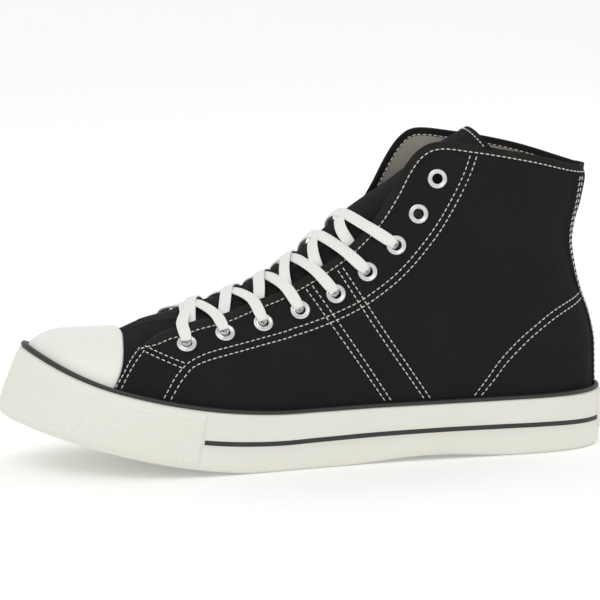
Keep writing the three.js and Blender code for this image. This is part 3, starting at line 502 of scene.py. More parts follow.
    def half_width(self, flat: np.ndarray, side: np.ndarray, grow: np.ndarray) -> np.ndarray:
        """Half width at places in the side view: foot plan low down, round shaft high up,
        both closed towards the ridge by a rounded crown.

        Args:
            flat: Places in the side view: along the shoe and height.
            side: The side, by the sign of its Y.
            grow: Distance outside the form.

        Returns:
            Distances from the middle plane.
        """
        x, height = flat[..., 0], flat[..., 1]
        back = self.back_x(height, grow)
        share = np.clip((back - x) / (back - self.toe_x(grow)), 0, 1)
        foot = self.half_plan(share, side) * self.inset_share(share, side, self.feather(share) - grow)
        rounding = 1 - np.clip((back - x) / self.heel_round, 0, 1)
        shaft = (self.shaft_width / 2 + grow) * np.sqrt(1 - rounding**2)
        upper = smooth(0.26 * self.collar_height, 0.84 * self.collar_height, height)
        shoulder = self.foxing_top(x) - self.shoulder_depth
        crown = np.clip((height - shoulder) / (self.ridge(x, grow) - shoulder), 0, 1)
        return lerp(foot, shaft, upper) * np.sqrt(1 - crown**self.crown_power)

    def skin(self, flat: np.ndarray, side: np.ndarray, grow: np.ndarray) -> np.ndarray:
        """Bent points on the form at places in the side view."""
        y = side * self.half_width(flat, side, grow)
        return self.bend(np.stack([flat[..., 0], y, flat[..., 1] + 0 * y], axis=-1))

    def normal(self, flat: np.ndarray, side: np.ndarray, grow: float, step: float = 1.5) -> np.ndarray:
        """Outward direction of the form, from places a step away on each side.

        Args:
            flat: Places in the side view: along the shoe and height.
            side: The side, by the sign of its Y.
            grow: Distance outside the form.
            step: Distance to the places compared.

        Returns:
            One unit vector for each place.
        """
        along, up = np.array([step, 0.0]), np.array([0.0, step])
        ahead = self.skin(flat + along, side, grow) - self.skin(flat - along, side, grow)
        rise = self.skin(flat + up, side, grow) - self.skin(flat - up, side, grow)
        made = unit(np.cross(ahead, rise))
        return made * np.where(made[..., 1:2] * np.asarray(side)[..., None] < 0, -1, 1)

    def respace(self, grid: np.ndarray, side: int, grow: float, count: int) -> np.ndarray:
        """Resamples each row of a side view grid to places at even distances on the form.

        Args:
            grid: Side view grid, rows by columns by two.
            side: The side, by the sign of its Y.
            grow: Distance outside the form.
            count: Number of columns to return.

        Returns:
            The grid with evenly spaced columns.
        """
        solid = self.skin(grid, side, grow)
        run = np.zeros(grid.shape[:2])
        run[:, 1:] = np.cumsum(np.linalg.norm(np.diff(solid, axis=1), axis=2), axis=1)
        rows = [
            np.stack([np.interp(np.linspace(0, r[-1], count), r, g[:, k]) for k in (0, 1)], axis=1)
            for r, g in zip(run, grid)
        ]
        return np.array(rows)


FORM = ShoeForm()


def fill_outline(bottom: np.ndarray, top: np.ndarray, front: np.ndarray, back: np.ndarray) -> np.ndarray:
    """A grid inside four edges: the two blends between facing edges, added, less the blend
    of the four corners.

    Args:
        bottom: First row, from front to back.
        top: Last row, from front to back.
        front: First column, from bottom to top.
        back: Last column, from bottom to top.

    Returns:
        Rows by columns by two.
    """
    u = np.linspace(0, 1, len(bottom))[None, :, None]
    v = np.linspace(0, 1, len(front))[:, None, None]
    across = lerp(bottom[None], top[None], v)
    along = lerp(front[:, None], back[:, None], u)
    corners = lerp(lerp(bottom[0], bottom[-1], u), lerp(top[0], top[-1], u), v)
    return across + along - corners


# Finishes.


def to_linear(colour: str) -> tuple[float, float, float, float]:
    """Linear colour of an sRGB hex value."""
    values = [int(colour[k : k + 2], 16) / 255 for k in (1, 3, 5)]
    linear = [v / 12.92 if v <= 0.04045 else ((v + 0.055) / 1.055) ** 2.4 for v in values]
    return (*linear, 1.0)


def add_node(
    tree: bpy.types.NodeTree, kind: str, inputs: dict | None = None, **settings: object
) -> bpy.types.Node:
    """Adds a node, sets it and links it.

    Args:
        tree: The material's tree.
        kind: The node's type name.
        inputs: Value or output socket for each input, by name or number.
        settings: The node's own properties.

    Returns:
        The new node.
    """
    node = tree.nodes.new(kind)
    for name, value in settings.items():
        setattr(node, name, value)
    for key, value in (inputs or {}).items():
        if isinstance(value, bpy.types.NodeSocket):
            tree.links.new(value, node.inputs[key])
        else:
            node.inputs[key].default_value = value
    return node


def math_node(tree: bpy.types.NodeTree, operation: str, *values: object) -> bpy.types.NodeSocket:
    """Output of a sum of one, two or three values, sockets or numbers."""
    return add_node(tree, "ShaderNodeMath", dict(enumerate(values)), operation=operation).outputs[0]


def blank_material(name: str) -> tuple[bpy.types.Material, bpy.types.NodeTree, bpy.types.Node]:
    """A new material, its tree and its surface node."""
    made = bpy.data.materials.new(name)
    made.use_nodes = True
    return made, made.node_tree, made.node_tree.nodes["Principled BSDF"]


def set_surface(surface: bpy.types.Node, values: dict) -> None:
    """Sets each named input of a surface node."""
    for name, value in values.items():
        surface.inputs[name].default_value = value


def noise(tree: bpy.types.NodeTree, scale: float, detail: float) -> bpy.types.NodeSocket:
    """Noise over the piece's own metres, so many waves to the metre."""
    body = add_node(tree, "ShaderNodeTexCoord").outputs["Object"]
    inputs = {"Vector": body, "Scale": scale, "Detail": detail}
    return add_node(tree, "ShaderNodeTexNoise", inputs).outputs[0]


def blend(tree: bpy.types.NodeTree, share: object, first: str, second: str) -> bpy.types.NodeSocket:
    """Colour between two hex values, the first where the share is 0."""
    inputs = {0: share, 6: to_linear(first), 7: to_linear(second)}
    return add_node(tree, "ShaderNodeMix", inputs, data_type="RGBA").outputs[2]


def bump(tree: bpy.types.NodeTree, height: object, strength: float, depth: float) -> bpy.types.NodeSocket:
    """Tilted normal of a height from 0 to 1, whose depth is in millimetres."""
    inputs = {"Strength": strength, "Distance": depth / 1000, "Height": height}
    return add_node(tree, "ShaderNodeBump", inputs).outputs[0]


def cloth_axes(tree: bpy.types.NodeTree) -> bpy.types.NodeOutputs:
    """The cloth's own two directions, in millimetres."""
    place = add_node(tree, "ShaderNodeUVMap", uv_map="cloth").outputs["UV"]
    return add_node(tree, "ShaderNodeSeparateXYZ", {0: place}).outputs


@dataclass(frozen=True)
class WovenCloth:
    """Plain woven cotton: two sets of threads over and under each other, with painted shade darkening the
    gaps where the threads dip.
    """

    name: str
    thread_colour: str
    # Colour painted where the threads dip: painted shade in the gaps between threads.
    shaded_gap_colour: str
    pitch: float = 0.9
    depth: float = 0.12
    roughness: float = 0.92
    sheen: float = 0.05
    fleck: float = 0.55
    specular: float = 0.12

    def material(self) -> bpy.types.Material:
        """Returns:
            The new material.
        """
        made, tree, surface = blank_material(self.name)
        axes = cloth_axes(tree)
        waves, checks = [], []
        for axis in (axes[0], axes[1]):
            angle = math_node(tree, "MULTIPLY", axis, math.pi / self.pitch)
            waves.append(math_node(tree, "ABSOLUTE", math_node(tree, "SINE", angle)))
            checks.append(math_node(tree, "COSINE", angle))
        cross = math_node(tree, "MULTIPLY", checks[0], checks[1])
        lift = math_node(tree, "MULTIPLY_ADD", cross, 0.35, 0.65)
        sink = math_node(tree, "MULTIPLY_ADD", cross, -0.35, 0.65)
        warp = math_node(tree, "MULTIPLY", waves[0], lift)
        weft = math_node(tree, "MULTIPLY", waves[1], sink)
        height = math_node(tree, "MAXIMUM", warp, weft)
        shade = math_node(tree, "MULTIPLY_ADD", noise(tree, 900.0, 3.0), self.fleck, height)
        shade = math_node(tree, "MULTIPLY_ADD", noise(tree, 30.0, 2.0), 0.3, shade)
        spread = {"Value": shade, "From Min": 0.35, "From Max": 1.35}
        shade = add_node(tree, "ShaderNodeMapRange", spread).outputs[0]
        # Painted shade: the colour darkens from the thread colour to the shaded gap colour where the weave
        # is low, with random flecks and clouding mixed in.
        colour = blend(tree, shade, self.shaded_gap_colour, self.thread_colour)
        tree.links.new(colour, surface.inputs["Base Color"])
        tree.links.new(bump(tree, height, 0.8, self.depth), surface.inputs["Normal"])
        set_surface(surface, {
            "Roughness": self.roughness, "Specular IOR Level": self.specular, "Sheen Weight": self.sheen,
            "Sheen Roughness": 0.5, "Sheen Tint": to_linear(self.thread_colour),
        })
        return made


@dataclass(frozen=True)
class CuredRubber:
    """Vulcanised rubber: a soft sheen, faint clouding and a fine moulded grain."""

    name: str
    colour: str
    cloud_colour: str
    roughness: float = 0.48
    grain: float = 0.04

    def material(self) -> bpy.types.Material:
        """Two colours mixed by broad noise, with grain of about half a millimetre.

        Returns:
            The new material.
        """
        made, tree, surface = blank_material(self.name)
        cloud = noise(tree, 22.0, 4.0)
        rough = math_node(tree, "MULTIPLY_ADD", cloud, 0.12, self.roughness)
        tree.links.new(blend(tree, cloud, self.colour, self.cloud_colour), surface.inputs["Base Color"])
        tree.links.new(rough, surface.inputs["Roughness"])
        tree.links.new(bump(tree, noise(tree, 1800.0, 2.0), 0.5, self.grain), surface.inputs["Normal"])
        set_surface(surface, {"IOR": 1.52})
        return made


@dataclass(frozen=True)
class CottonCord:
    """Braided or spun cotton: slanting ridges that meet along the middle, with painted shade in the grooves
    between them.
    """

    name: str
    colour: str
    # Colour painted in the grooves between ridges: painted shade.
    groove_shade_colour: str
    pitch: float = 1.3
    slant: float = 0.8
    depth: float = 0.16

    def material(self) -> bpy.types.Material:
        """Sine ridges across the length, turned one way on each half of the width; the colour darkens to a
        painted shade in the grooves.

        Returns:
            The new material.
        """
        made, tree, surface = blank_material(self.name)
        axes = cloth_axes(tree)
        fold = math_node(tree, "ABSOLUTE", axes[0])
        run = math_node(tree, "MULTIPLY_ADD", fold, self.slant, axes[1])
        ridge = math_node(tree, "SINE", math_node(tree, "MULTIPLY", run, 2 * math.pi / self.pitch))
        height = math_node(tree, "MULTIPLY_ADD", ridge, 0.5, 0.5)
        height = math_node(tree, "MULTIPLY_ADD", noise(tree, 1500.0, 3.0), 0.4, height)
        # Painted shade: low places of the ridges take the darker groove shade colour, with random noise
        # mixed in.
        tree.links.new(blend(tree, height, self.groove_shade_colour, self.colour), surface.inputs["Base Color"])
        tree.links.new(bump(tree, height, 0.7, self.depth), surface.inputs["Normal"])
        set_surface(surface, {"Roughness": 0.9, "Specular IOR Level": 0.3, "Sheen Weight": 0.2})
        return made


@dataclass(frozen=True)
class PlatedMetal:
    """Nickel plated brass, pressed and tumbled."""

    name: str
    colour: str
    roughness: float = 0.28

    def material(self) -> bpy.types.Material:
        """A metal with faint tumbling marks in its roughness.

        Returns:
            The new material.
        """
        made, tree, surface = blank_material(self.name)
        rough = math_node(tree, "MULTIPLY_ADD", noise(tree, 700.0, 2.0), 0.15, self.roughness - 0.07)
        tree.links.new(rough, surface.inputs["Roughness"])
        set_surface(surface, {"Base Color": to_linear(self.colour), "Metallic": 1.0})
        return made


@dataclass
class Finishes:
    """Every material of the shoe, made once."""

    # Cotton duck, dyed black: threads are about 0.5 mm apart, drawn at 0.9 mm so that they show; the second
    # colour is painted shade between threads.
    canvas: bpy.types.Material = field(
        default_factory=lambda: WovenCloth("cotton_duck_black", "#252526", "#0b0b0c").material()
    )
    # Folded cotton tape along throat and collar: closer woven and a little browner; the second colour is
    # painted shade between threads.
    tape: bpy.types.Material = field(
        default_factory=lambda: WovenCloth("cotton_tape_black", "#2d2c2a", "#161514", 0.6, 0.06).material()
    )
    # Undyed cotton lining, dull and greyish cream inside the shaft; the second colour is painted shade
    # between threads.
    lining: bpy.types.Material = field(
        default_factory=lambda: WovenCloth(
            "cotton_lining_cream", "#c9c5b8", "#9b978b", 0.8, 0.08, 0.95, 0.1, 0.2
        ).material()
    )
    # Foxing and cap: off-white vulcanised rubber, softly glossy, slightly yellow.
    white_rubber: bpy.types.Material = field(
        default_factory=lambda: CuredRubber("vulcanised_rubber_offwhite", "#e7e6dd", "#e1e0d5").material()
    )
    # Toe cap: the same rubber, moulded, smoother and a little whiter.
    cap_rubber: bpy.types.Material = field(
        default_factory=lambda: CuredRubber(
            "moulded_rubber_toe", "#ebeae4", "#e6e5dd", 0.36, 0.02
        ).material()
    )
    # Piping and stripe: near black rubber with a broad dull shine.
    dark_rubber: bpy.types.Material = field(
        default_factory=lambda: CuredRubber("vulcanised_rubber_black", "#242322", "#2d2c2a", 0.5).material()
    )
    # Flat braided cotton lace: bright, matt, with slanting picks about 1.3 mm apart; the second colour is
    # painted shade in the grooves.
    lace: bpy.types.Material = field(
        default_factory=lambda: CottonCord("braided_cotton_lace", "#f1f0ed", "#dddbd6").material()
    )
    # Spun cotton sewing thread, off-white; the second colour is painted shade in the grooves.
    thread: bpy.types.Material = field(
        default_factory=lambda: CottonCord(
            "spun_cotton_thread", "#ece9e0", "#b9b5aa", 0.5, 1.0, 0.05
        ).material()
    )
    # Eyelets: bright grey metal with soft highlights.
    nickel: bpy.types.Material = field(
        default_factory=lambda: PlatedMetal("nickel_plated_brass", "#d6d6d4").material()
    )


# Seams of the upper, in the side view.


@dataclass(frozen=True)
class Seams:
    """Stitch rows and the edges of the overlaid panels, as places along and heights."""

    stay_row = (
        (-75.3, 47.4), (-70.9, 50.4), (-62.6, 54.4), (-35.3, 62.2), (-5.2, 68.8), (16.3, 76.2),
        (24.4, 80.2), (40.4, 91.5), (56.8, 108.9), (66.8, 123.2), (75.3, 138.3), (79.1, 147.6),
    )
    stay_outer_row = (
        (-72.7, 45.8), (-69, 48.2), (-61.4, 51.5), (-34.5, 59.3), (-4.3, 65.7), (17.2, 73.2), (26.6, 78),
        (42.8, 89.6), (59.4, 107.2), (69.7, 122), (78.4, 137.6), (82.3, 147),
    )
    front_row = ((-98.1, 50), (-102.2, 43.6), (-105.4, 35.9), (-107.9, 29.2))
    front_inner_row = ((-95.9, 49.6), (-100.2, 42.8), (-103.3, 35.7), (-105.2, 29.4))
    toe_row = ((-96.3, 51), (-87.1, 49.4), (-75.8, 47.6))
    toe_lower_row = ((-96.1, 48.6), (-86, 46.8), (-76.6, 45.2))
    down_row = ((-75.5, 47.2), (-80.1, 41), (-84.7, 29.6))
    down_rear_row = ((-72.7, 45.8), (-76.9, 39.8), (-81.3, 29.6))
    strap_rows = (
        ((-3.5, 85), (8.6, 65.8), (32.6, 30)), ((-0.4, 86.6), (12.3, 66.4), (35.7, 30)),
        ((12.3, 93.6), (29.1, 64.9), (52.4, 30)), ((14.8, 94.8), (32.4, 65.2), (55.6, 30)),
    )
    heel_row = ((143, 77.2), (121.2, 70), (107.7, 61.6), (101.4, 56.8), (91.2, 47), (85, 39), (77.6, 30))
    heel_inner_row = (
        (143.6, 74.6), (122.6, 67), (109.6, 59), (104, 54.6), (94.2, 45.2), (88.2, 37.8), (81.2, 30),
    )

    stay_height: float = 0.45
    overlay_height: float = 0.4
    step_foot: float = -2.1
    step_top: float = -1.2
    dip_depth: float = 0.22
    dip_breadth: float = 1.1

    def rows(self) -> tuple:
        """Every stitch row of a side.

        Returns:
            The points of each row in the side view.
        """
        return (
            self.stay_row, self.stay_outer_row, self.front_row, self.front_inner_row, self.toe_row,
            self.toe_lower_row, self.down_row, self.down_rear_row, *self.strap_rows, self.heel_row,
            self.heel_inner_row,
        )

    @staticmethod
    def line(points: tuple, count: int = 60) -> np.ndarray:
        """A stitch row as a smooth line."""
        return smooth_path(list(points), count)

    def relief(self, flat: np.ndarray) -> np.ndarray:
        """Height of the overlaid panels over the quarter, and of the dips along the stitches.

        Each overlay rises over 0.9 mm at an edge that lies 1.6 mm outside its stitch row, and a
        stitch row pulls the cloth in along a bell curve.

        Args:
            flat: Places in the side view: along the shoe and height.

        Returns:
            One height for each place.
        """
        foot, top, high = self.step_foot, self.step_top, self.overlay_height
        stay_edge = np.vstack([self.line(self.toe_lower_row, 12), self.line(self.stay_outer_row)])
        rise = self.stay_height * smooth(foot, top, signed_distance(flat, stay_edge))
        wing = signed_distance(flat, self.line(self.down_rear_row))
        rise = np.maximum(rise, high * smooth(-top, -foot, -wing) * (flat[..., 1] < 52))
        front = signed_distance(flat, self.line(self.strap_rows[0]))
        rear = signed_distance(flat, self.line(self.strap_rows[3]))
        rise = np.maximum(rise, high * smooth(foot, top, front) * smooth(foot, top, -rear))
        heel = signed_distance(flat, self.line(self.heel_row))
        rise = np.maximum(rise, high * smooth(foot, top, heel) * (flat[..., 0] > 60))
        for row in self.rows():
            distance = signed_distance(flat, self.line(row, 40))
            rise = rise - self.dip_depth * np.exp(-((distance / self.dip_breadth) ** 2))
        return rise


SEAMS = Seams()


@dataclass
class Stitcher:
    """Lays short threads along rows on a surface."""

    pitch: float = 2.8
    length: float = 2.35
    radius: float = 0.27
    rings: int = 6
    sides: int = 6
    rise: float = 0.42
    sunk: float = 0.12

    def threads(self, path: np.ndarray, normals: np.ndarray, slant: float = 0.0) -> Cells:
        """One thread for each stitch: a tube that rises out of the cloth and dips back in.

        Args:
            path: Points of the row on the cloth.
            normals: Direction out of the cloth at each.
            slant: How far a stitch's ends lie to the sides of the row, as a share of its length.

        Returns:
            The cells of all the row's threads.
        """
        run = distances(path)
        count = max(int(run[-1] / self.pitch), 1)
        starts = (np.arange(count) + 0.5) * run[-1] / count
        t = np.linspace(-0.5, 0.5, self.rings)
        at = starts[:, None] + t[None] * self.length
        centre = np.stack([np.interp(at, run, path[:, k]) for k in range(3)], axis=-1)
        up = unit(np.stack([np.interp(at, run, normals[:, k]) for k in range(3)], axis=-1))
        along = unit(np.gradient(centre, axis=1))
        across = unit(np.cross(along, up))
        bulge = np.cos(np.pi * t)[None, :, None]
        lean = (slant * self.length * t)[None, :, None]
        centre = centre + up * (self.rise * bulge - self.sunk) + across * lean
        thickness = self.radius * np.sqrt(np.maximum(1 - (2 * t) ** 4, 0))
        angle = np.linspace(0, 2 * np.pi, self.sides + 1)
        ring = (
            across[:, :, None] * np.cos(angle)[None, None, :, None]
            + up[:, :, None] * np.sin(angle)[None, None, :, None]
        )
        points = centre[:, :, None] + thickness[None, :, None, None] * ring
        cloth = np.zeros((*points.shape[:3], 2))
        cloth[..., 0] = (angle * self.radius)[None, None]
        cloth[..., 1] = at[:, :, None]
        made = [sheet_cells(p, c) for p, c in zip(points, cloth)]
        return Cells(
            *(np.concatenate([getattr(m, k) for m in made]) for k in ("corners", "cloth", "finish"))
        )

    def on_form(self, row: tuple, side: int, grow: float, slant: float = 0.0) -> Cells:
        """Threads along a side view row, on the form with its panels.

        Args:
            row: The row's points in the side view.
            side: The side, by the sign of its Y.
            grow: Distance outside the form.
            slant: Sideways lean of each stitch.

        Returns:
            The threads on the form.
        """
        flat = SEAMS.line(row, 120)
        normals = FORM.normal(flat, side, grow)
        points = FORM.skin(flat, side, grow) + normals * SEAMS.relief(flat)[:, None]
        return self.threads(points, normals, slant)


# Pieces of the upper.


@dataclass
class Quarters:
    """Both quarters of the upper as one folded wall, from the toe round the heel."""

    outer_grow: float = 0.8
    inner_grow: float = -1.2
    columns: int = 200
    rows: int = 78
    band: float = 4.1
    band_rows: int = 8
    band_lift: float = 0.3
    seam_inset: float = 3.6
    fold: float = 1.0
    hole_radius: float = 3.0
    eyelets: np.ndarray = field(default_factory=lambda: np.zeros((0, 3)))
    hidden_height: float = 14.0
    back_height: float = 139.7

    # Throat and collar edge, and the front edge under them, in the side view.
    TOP = (
        (-97.3, 50.6), (-92.1, 55.2), (-86.6, 59), (-79.8, 62), (-69.2, 66.7), (-55.4, 71.1), (-36.1, 78.4),
        (-12, 85.8), (3, 93.6), (18.4, 104), (31, 116.6), (39.8, 129.7), (46.6, 141.8), (53.2, 149.6),
        (62, 153.6), (82.5, 151.5), (112, 145.6), (135.5, 139), (156.5, 134),
    )
    FRONT = ((-110.8, 14), (-108.6, 28.5), (-104.9, 39), (-101.4, 45.6), (-97.3, 50.6))

    def top_edge(self, side: int) -> np.ndarray:
        """The throat and collar line of a side, tilted up towards the inner side, to the back.

        Args:
            side: The side, by the sign of its Y.

        Returns:
            Points of the line.
        """
        line = smooth_path(list(self.TOP), 900)
        y = side * FORM.half_width(line, side, self.outer_grow)
        collar = 1 - smooth(0.3, 0.36, FORM.share(line[:, 0]))
        line[:, 1] += FORM.collar_tilt * collar * (y + FORM.shaft_width / 2) / FORM.shaft_width
        end = np.array([FORM.back_x(self.back_height, self.outer_grow), self.back_height])
        return even(np.vstack([line[line[:, 0] < end[0] - 2], end]), 500)

    def inset_edge(self, side: int, depth: float) -> np.ndarray:
        """The edge moved into the cloth: square to it, at its front along the front edge,
        and at its end down the back.

        Args:
            side: The side, by the sign of its Y.
            depth: Distance moved into the cloth.

        Returns:
            The moved points.
        """
        top = self.top_edge(side)
        step = unit(np.gradient(top, axis=0))
        into = np.stack([step[:, 1], -step[:, 0]], axis=1)
        run = np.linspace(0, distances(top)[-1], len(top))[:, None]
        front = unit(np.subtract(self.FRONT[-2], self.FRONT[-1]))
        into = lerp(into, front, smooth(16, 0, run))
        into = unit(lerp(into, np.array([0.0, -1.0]), smooth(run[-1] - 12, run[-1], run)))
        moved = top + into * depth
        moved[:, 0] = np.minimum(moved[:, 0], FORM.back_x(moved[:, 1], self.outer_grow))
        moved[-1, 0] = FORM.back_x(moved[-1, 1], self.outer_grow)
        return moved

    def side_grid(self, side: int) -> tuple[np.ndarray, np.ndarray]:
        """Side view grid of a side and the direction out of its top edge.

        Args:
            side: The side, by the sign of its Y.

        Returns:
            Rows by columns by two, and columns by two.
        """
        edge, border = self.inset_edge(side, self.fold), self.inset_edge(side, self.band)
        low, fine = self.hidden_height, len(edge)
        bottom = np.linspace((self.FRONT[0][0], low), (FORM.back_x(low, self.outer_grow), low), fine)
        front = smooth_path([*self.FRONT[:-1], tuple(border[0])], self.rows)
        heights = np.linspace(low, border[-1, 1], self.rows)
        back = np.stack([FORM.back_x(heights, self.outer_grow), heights], axis=1)
        body = fill_outline(bottom, border, front, back)
        shares = np.linspace(0, 1, self.band_rows + 1)[1:, None, None]
        grid = np.vstack([body, lerp(border[None], edge[None], shares)])
        grid[..., 0] = np.minimum(grid[..., 0], FORM.back_x(grid[..., 1], self.outer_grow))
        grid = FORM.respace(grid, side, self.outer_grow, self.columns)
        out = unit(self.top_edge(side) - edge)
        nearest = [np.linalg.norm(edge - place, axis=1).argmin() for place in grid[-1]]
        return grid, out[nearest]

    def lined(self, flat: np.ndarray) -> np.ndarray:
        """Places of the inside: moved forward by the wall near the back line.

        Args:
            flat: Places in the side view: along the shoe and height.

        Returns:
            The moved places.
        """
        moved = flat.copy()
        wall = self.outer_grow - self.inner_grow
        moved[..., 0] -= wall * smooth(20, 0, FORM.back_x(flat[..., 1], 0) - flat[..., 0])
        return moved

    def edge_seam(self, side: int, inside: bool) -> tuple[np.ndarray, np.ndarray]:
        """The stitch row along the binding of a side, and its directions, outside or inside.

        Args:
            side: The side, by the sign of its Y.
            inside: Whether the row lies on the inside.

        Returns:
            Points of the row and a direction for each.
        """
        flat = self.inset_edge(side, self.seam_inset)[3:-2]
        normals = FORM.normal(flat, side, self.outer_grow)
        if inside:
            return FORM.skin(self.lined(flat), side, self.inner_grow), -normals
        return FORM.skin(flat, side, self.outer_grow) + normals * self.band_lift, normals

    def faces(self, side: int) -> tuple[np.ndarray, np.ndarray, np.ndarray]:
        """Bent grids of a side: outside, inside, and the half round fold over its edge.

        Args:
            side: The side, by the sign of its Y.

        Returns:
            Three grids of bent points.
        """
        grid, out = self.side_grid(side)
        taper = np.ones(self.columns)
        taper[:3] = [0.45, 0.8, 0.97]
        face = FORM.skin(grid, side, lerp(self.inner_grow, self.outer_grow, taper[None]))
        height = SEAMS.relief(grid) + self.creases(grid, side)
        height[self.rows - 1 :] = 0
        height[self.rows :] += self.band_lift
        height *= smooth(0.0, 6.0, FORM.back_x(grid[..., 1], self.outer_grow) - grid[..., 0])
        face = face + FORM.normal(grid, side, self.outer_grow) * height[..., None]
        lined = self.lined(grid)
        inside = FORM.skin(lined, side, self.inner_grow)
        tip = self.outer_grow + self.band_lift
        middle, radius = (tip + self.inner_grow) / 2, (tip - self.inner_grow) / 2
        rows = []
        for angle in np.linspace(0, np.pi, 7):
            base = lerp(grid[-1], lined[-1], (1 - math.cos(angle)) / 2)
            raised = base + out * self.fold * math.sin(angle)
            rows.append(FORM.skin(raised, side, middle + radius * math.cos(angle)))
        rows[0], rows[-1] = face[-1], inside[-1]
        return face, inside, np.array(rows)

    def wall(self) -> list[Cells]:
        """The folded wall of both sides, with its ends and eyelet holes closed.

        Returns:
            The cells of the piece.
        """
        outer, inner = self.faces(Side.OUTER.value), self.faces(Side.INNER.value)
        # The outer side from the toe to the back, then the inner side back to the toe.
        face, inside, fold = (np.concatenate([o, i[:, -2::-1]], axis=1) for o, i in zip(outer, inner))
        cloth = cloth_lengths(face)
        cover = np.full((face.shape[0] - 1, face.shape[1] - 1), Cover.CANVAS.value)
        cover[self.rows - 1 :] = Cover.TAPE.value
        lining = np.where(cover == Cover.TAPE.value, cover, Cover.LINING.value)
        centre = (face[:-1, :-1] + face[1:, 1:]) / 2
        keep = np.ones(cover.shape, dtype=bool)
        for place in self.eyelets:
            keep &= np.linalg.norm(centre - place, axis=-1) > self.hole_radius
        parts = wall_cells(face, inside, cloth, (cover, lining), keep, open_top=True)
        fold_cloth = cloth_lengths(fold)
        fold_cloth[..., 0] = cloth[-1, :, 0]
        fold_cloth[..., 1] += cloth[-1, :, 1]
        parts.append(sheet_cells(fold, fold_cloth, Cover.TAPE.value))
        order = np.array([(0, 1, 5, 6), (1, 2, 4, 5), (2, 3, 3, 4)])
        for end in (0, -1):
            parts.append(Cells(fold[order, end], fold_cloth[order, end], np.full(3, Cover.TAPE.value)))
        return parts

    @staticmethod
    def creases(flat: np.ndarray, side: int) -> np.ndarray:
        """Soft folds of the cloth, each a bell across a line that fades at its ends.

        Rows: two ends of the line, half breadth, depth.

        Args:
            flat: Places in the side view: along the shoe and height.
            side: The side, by the sign of its Y; not used.

        Returns:
            One height for each place.
        """
        folds = (
            ((-62, 42), (-20, 36), 7.0, -0.5), ((60, 92), (120, 84), 9.0, -0.9),
            ((66, 78), (118, 96), 7.0, 0.5), ((10, 48), (70, 42), 9.0, -0.4),
            ((84, 118), (128, 122), 10.0, -0.5), ((70, 132), (120, 134), 8.0, 0.4),
        )
        made = np.zeros(flat.shape[:2])
        for start, end, breadth, depth in folds:
            line = np.array([start, end], dtype=float)
            step = line[1] - line[0]
            share = ((flat - line[0]) @ step) / (step @ step)
            away = ((flat - line[0]) @ np.array([-step[1], step[0]])) / np.linalg.norm(step)
            ends = smooth(-0.25, 0.25, share) * smooth(1.25, 0.75, share)
            made = made + depth * ends * np.exp(-((away / breadth) ** 2))
        return made


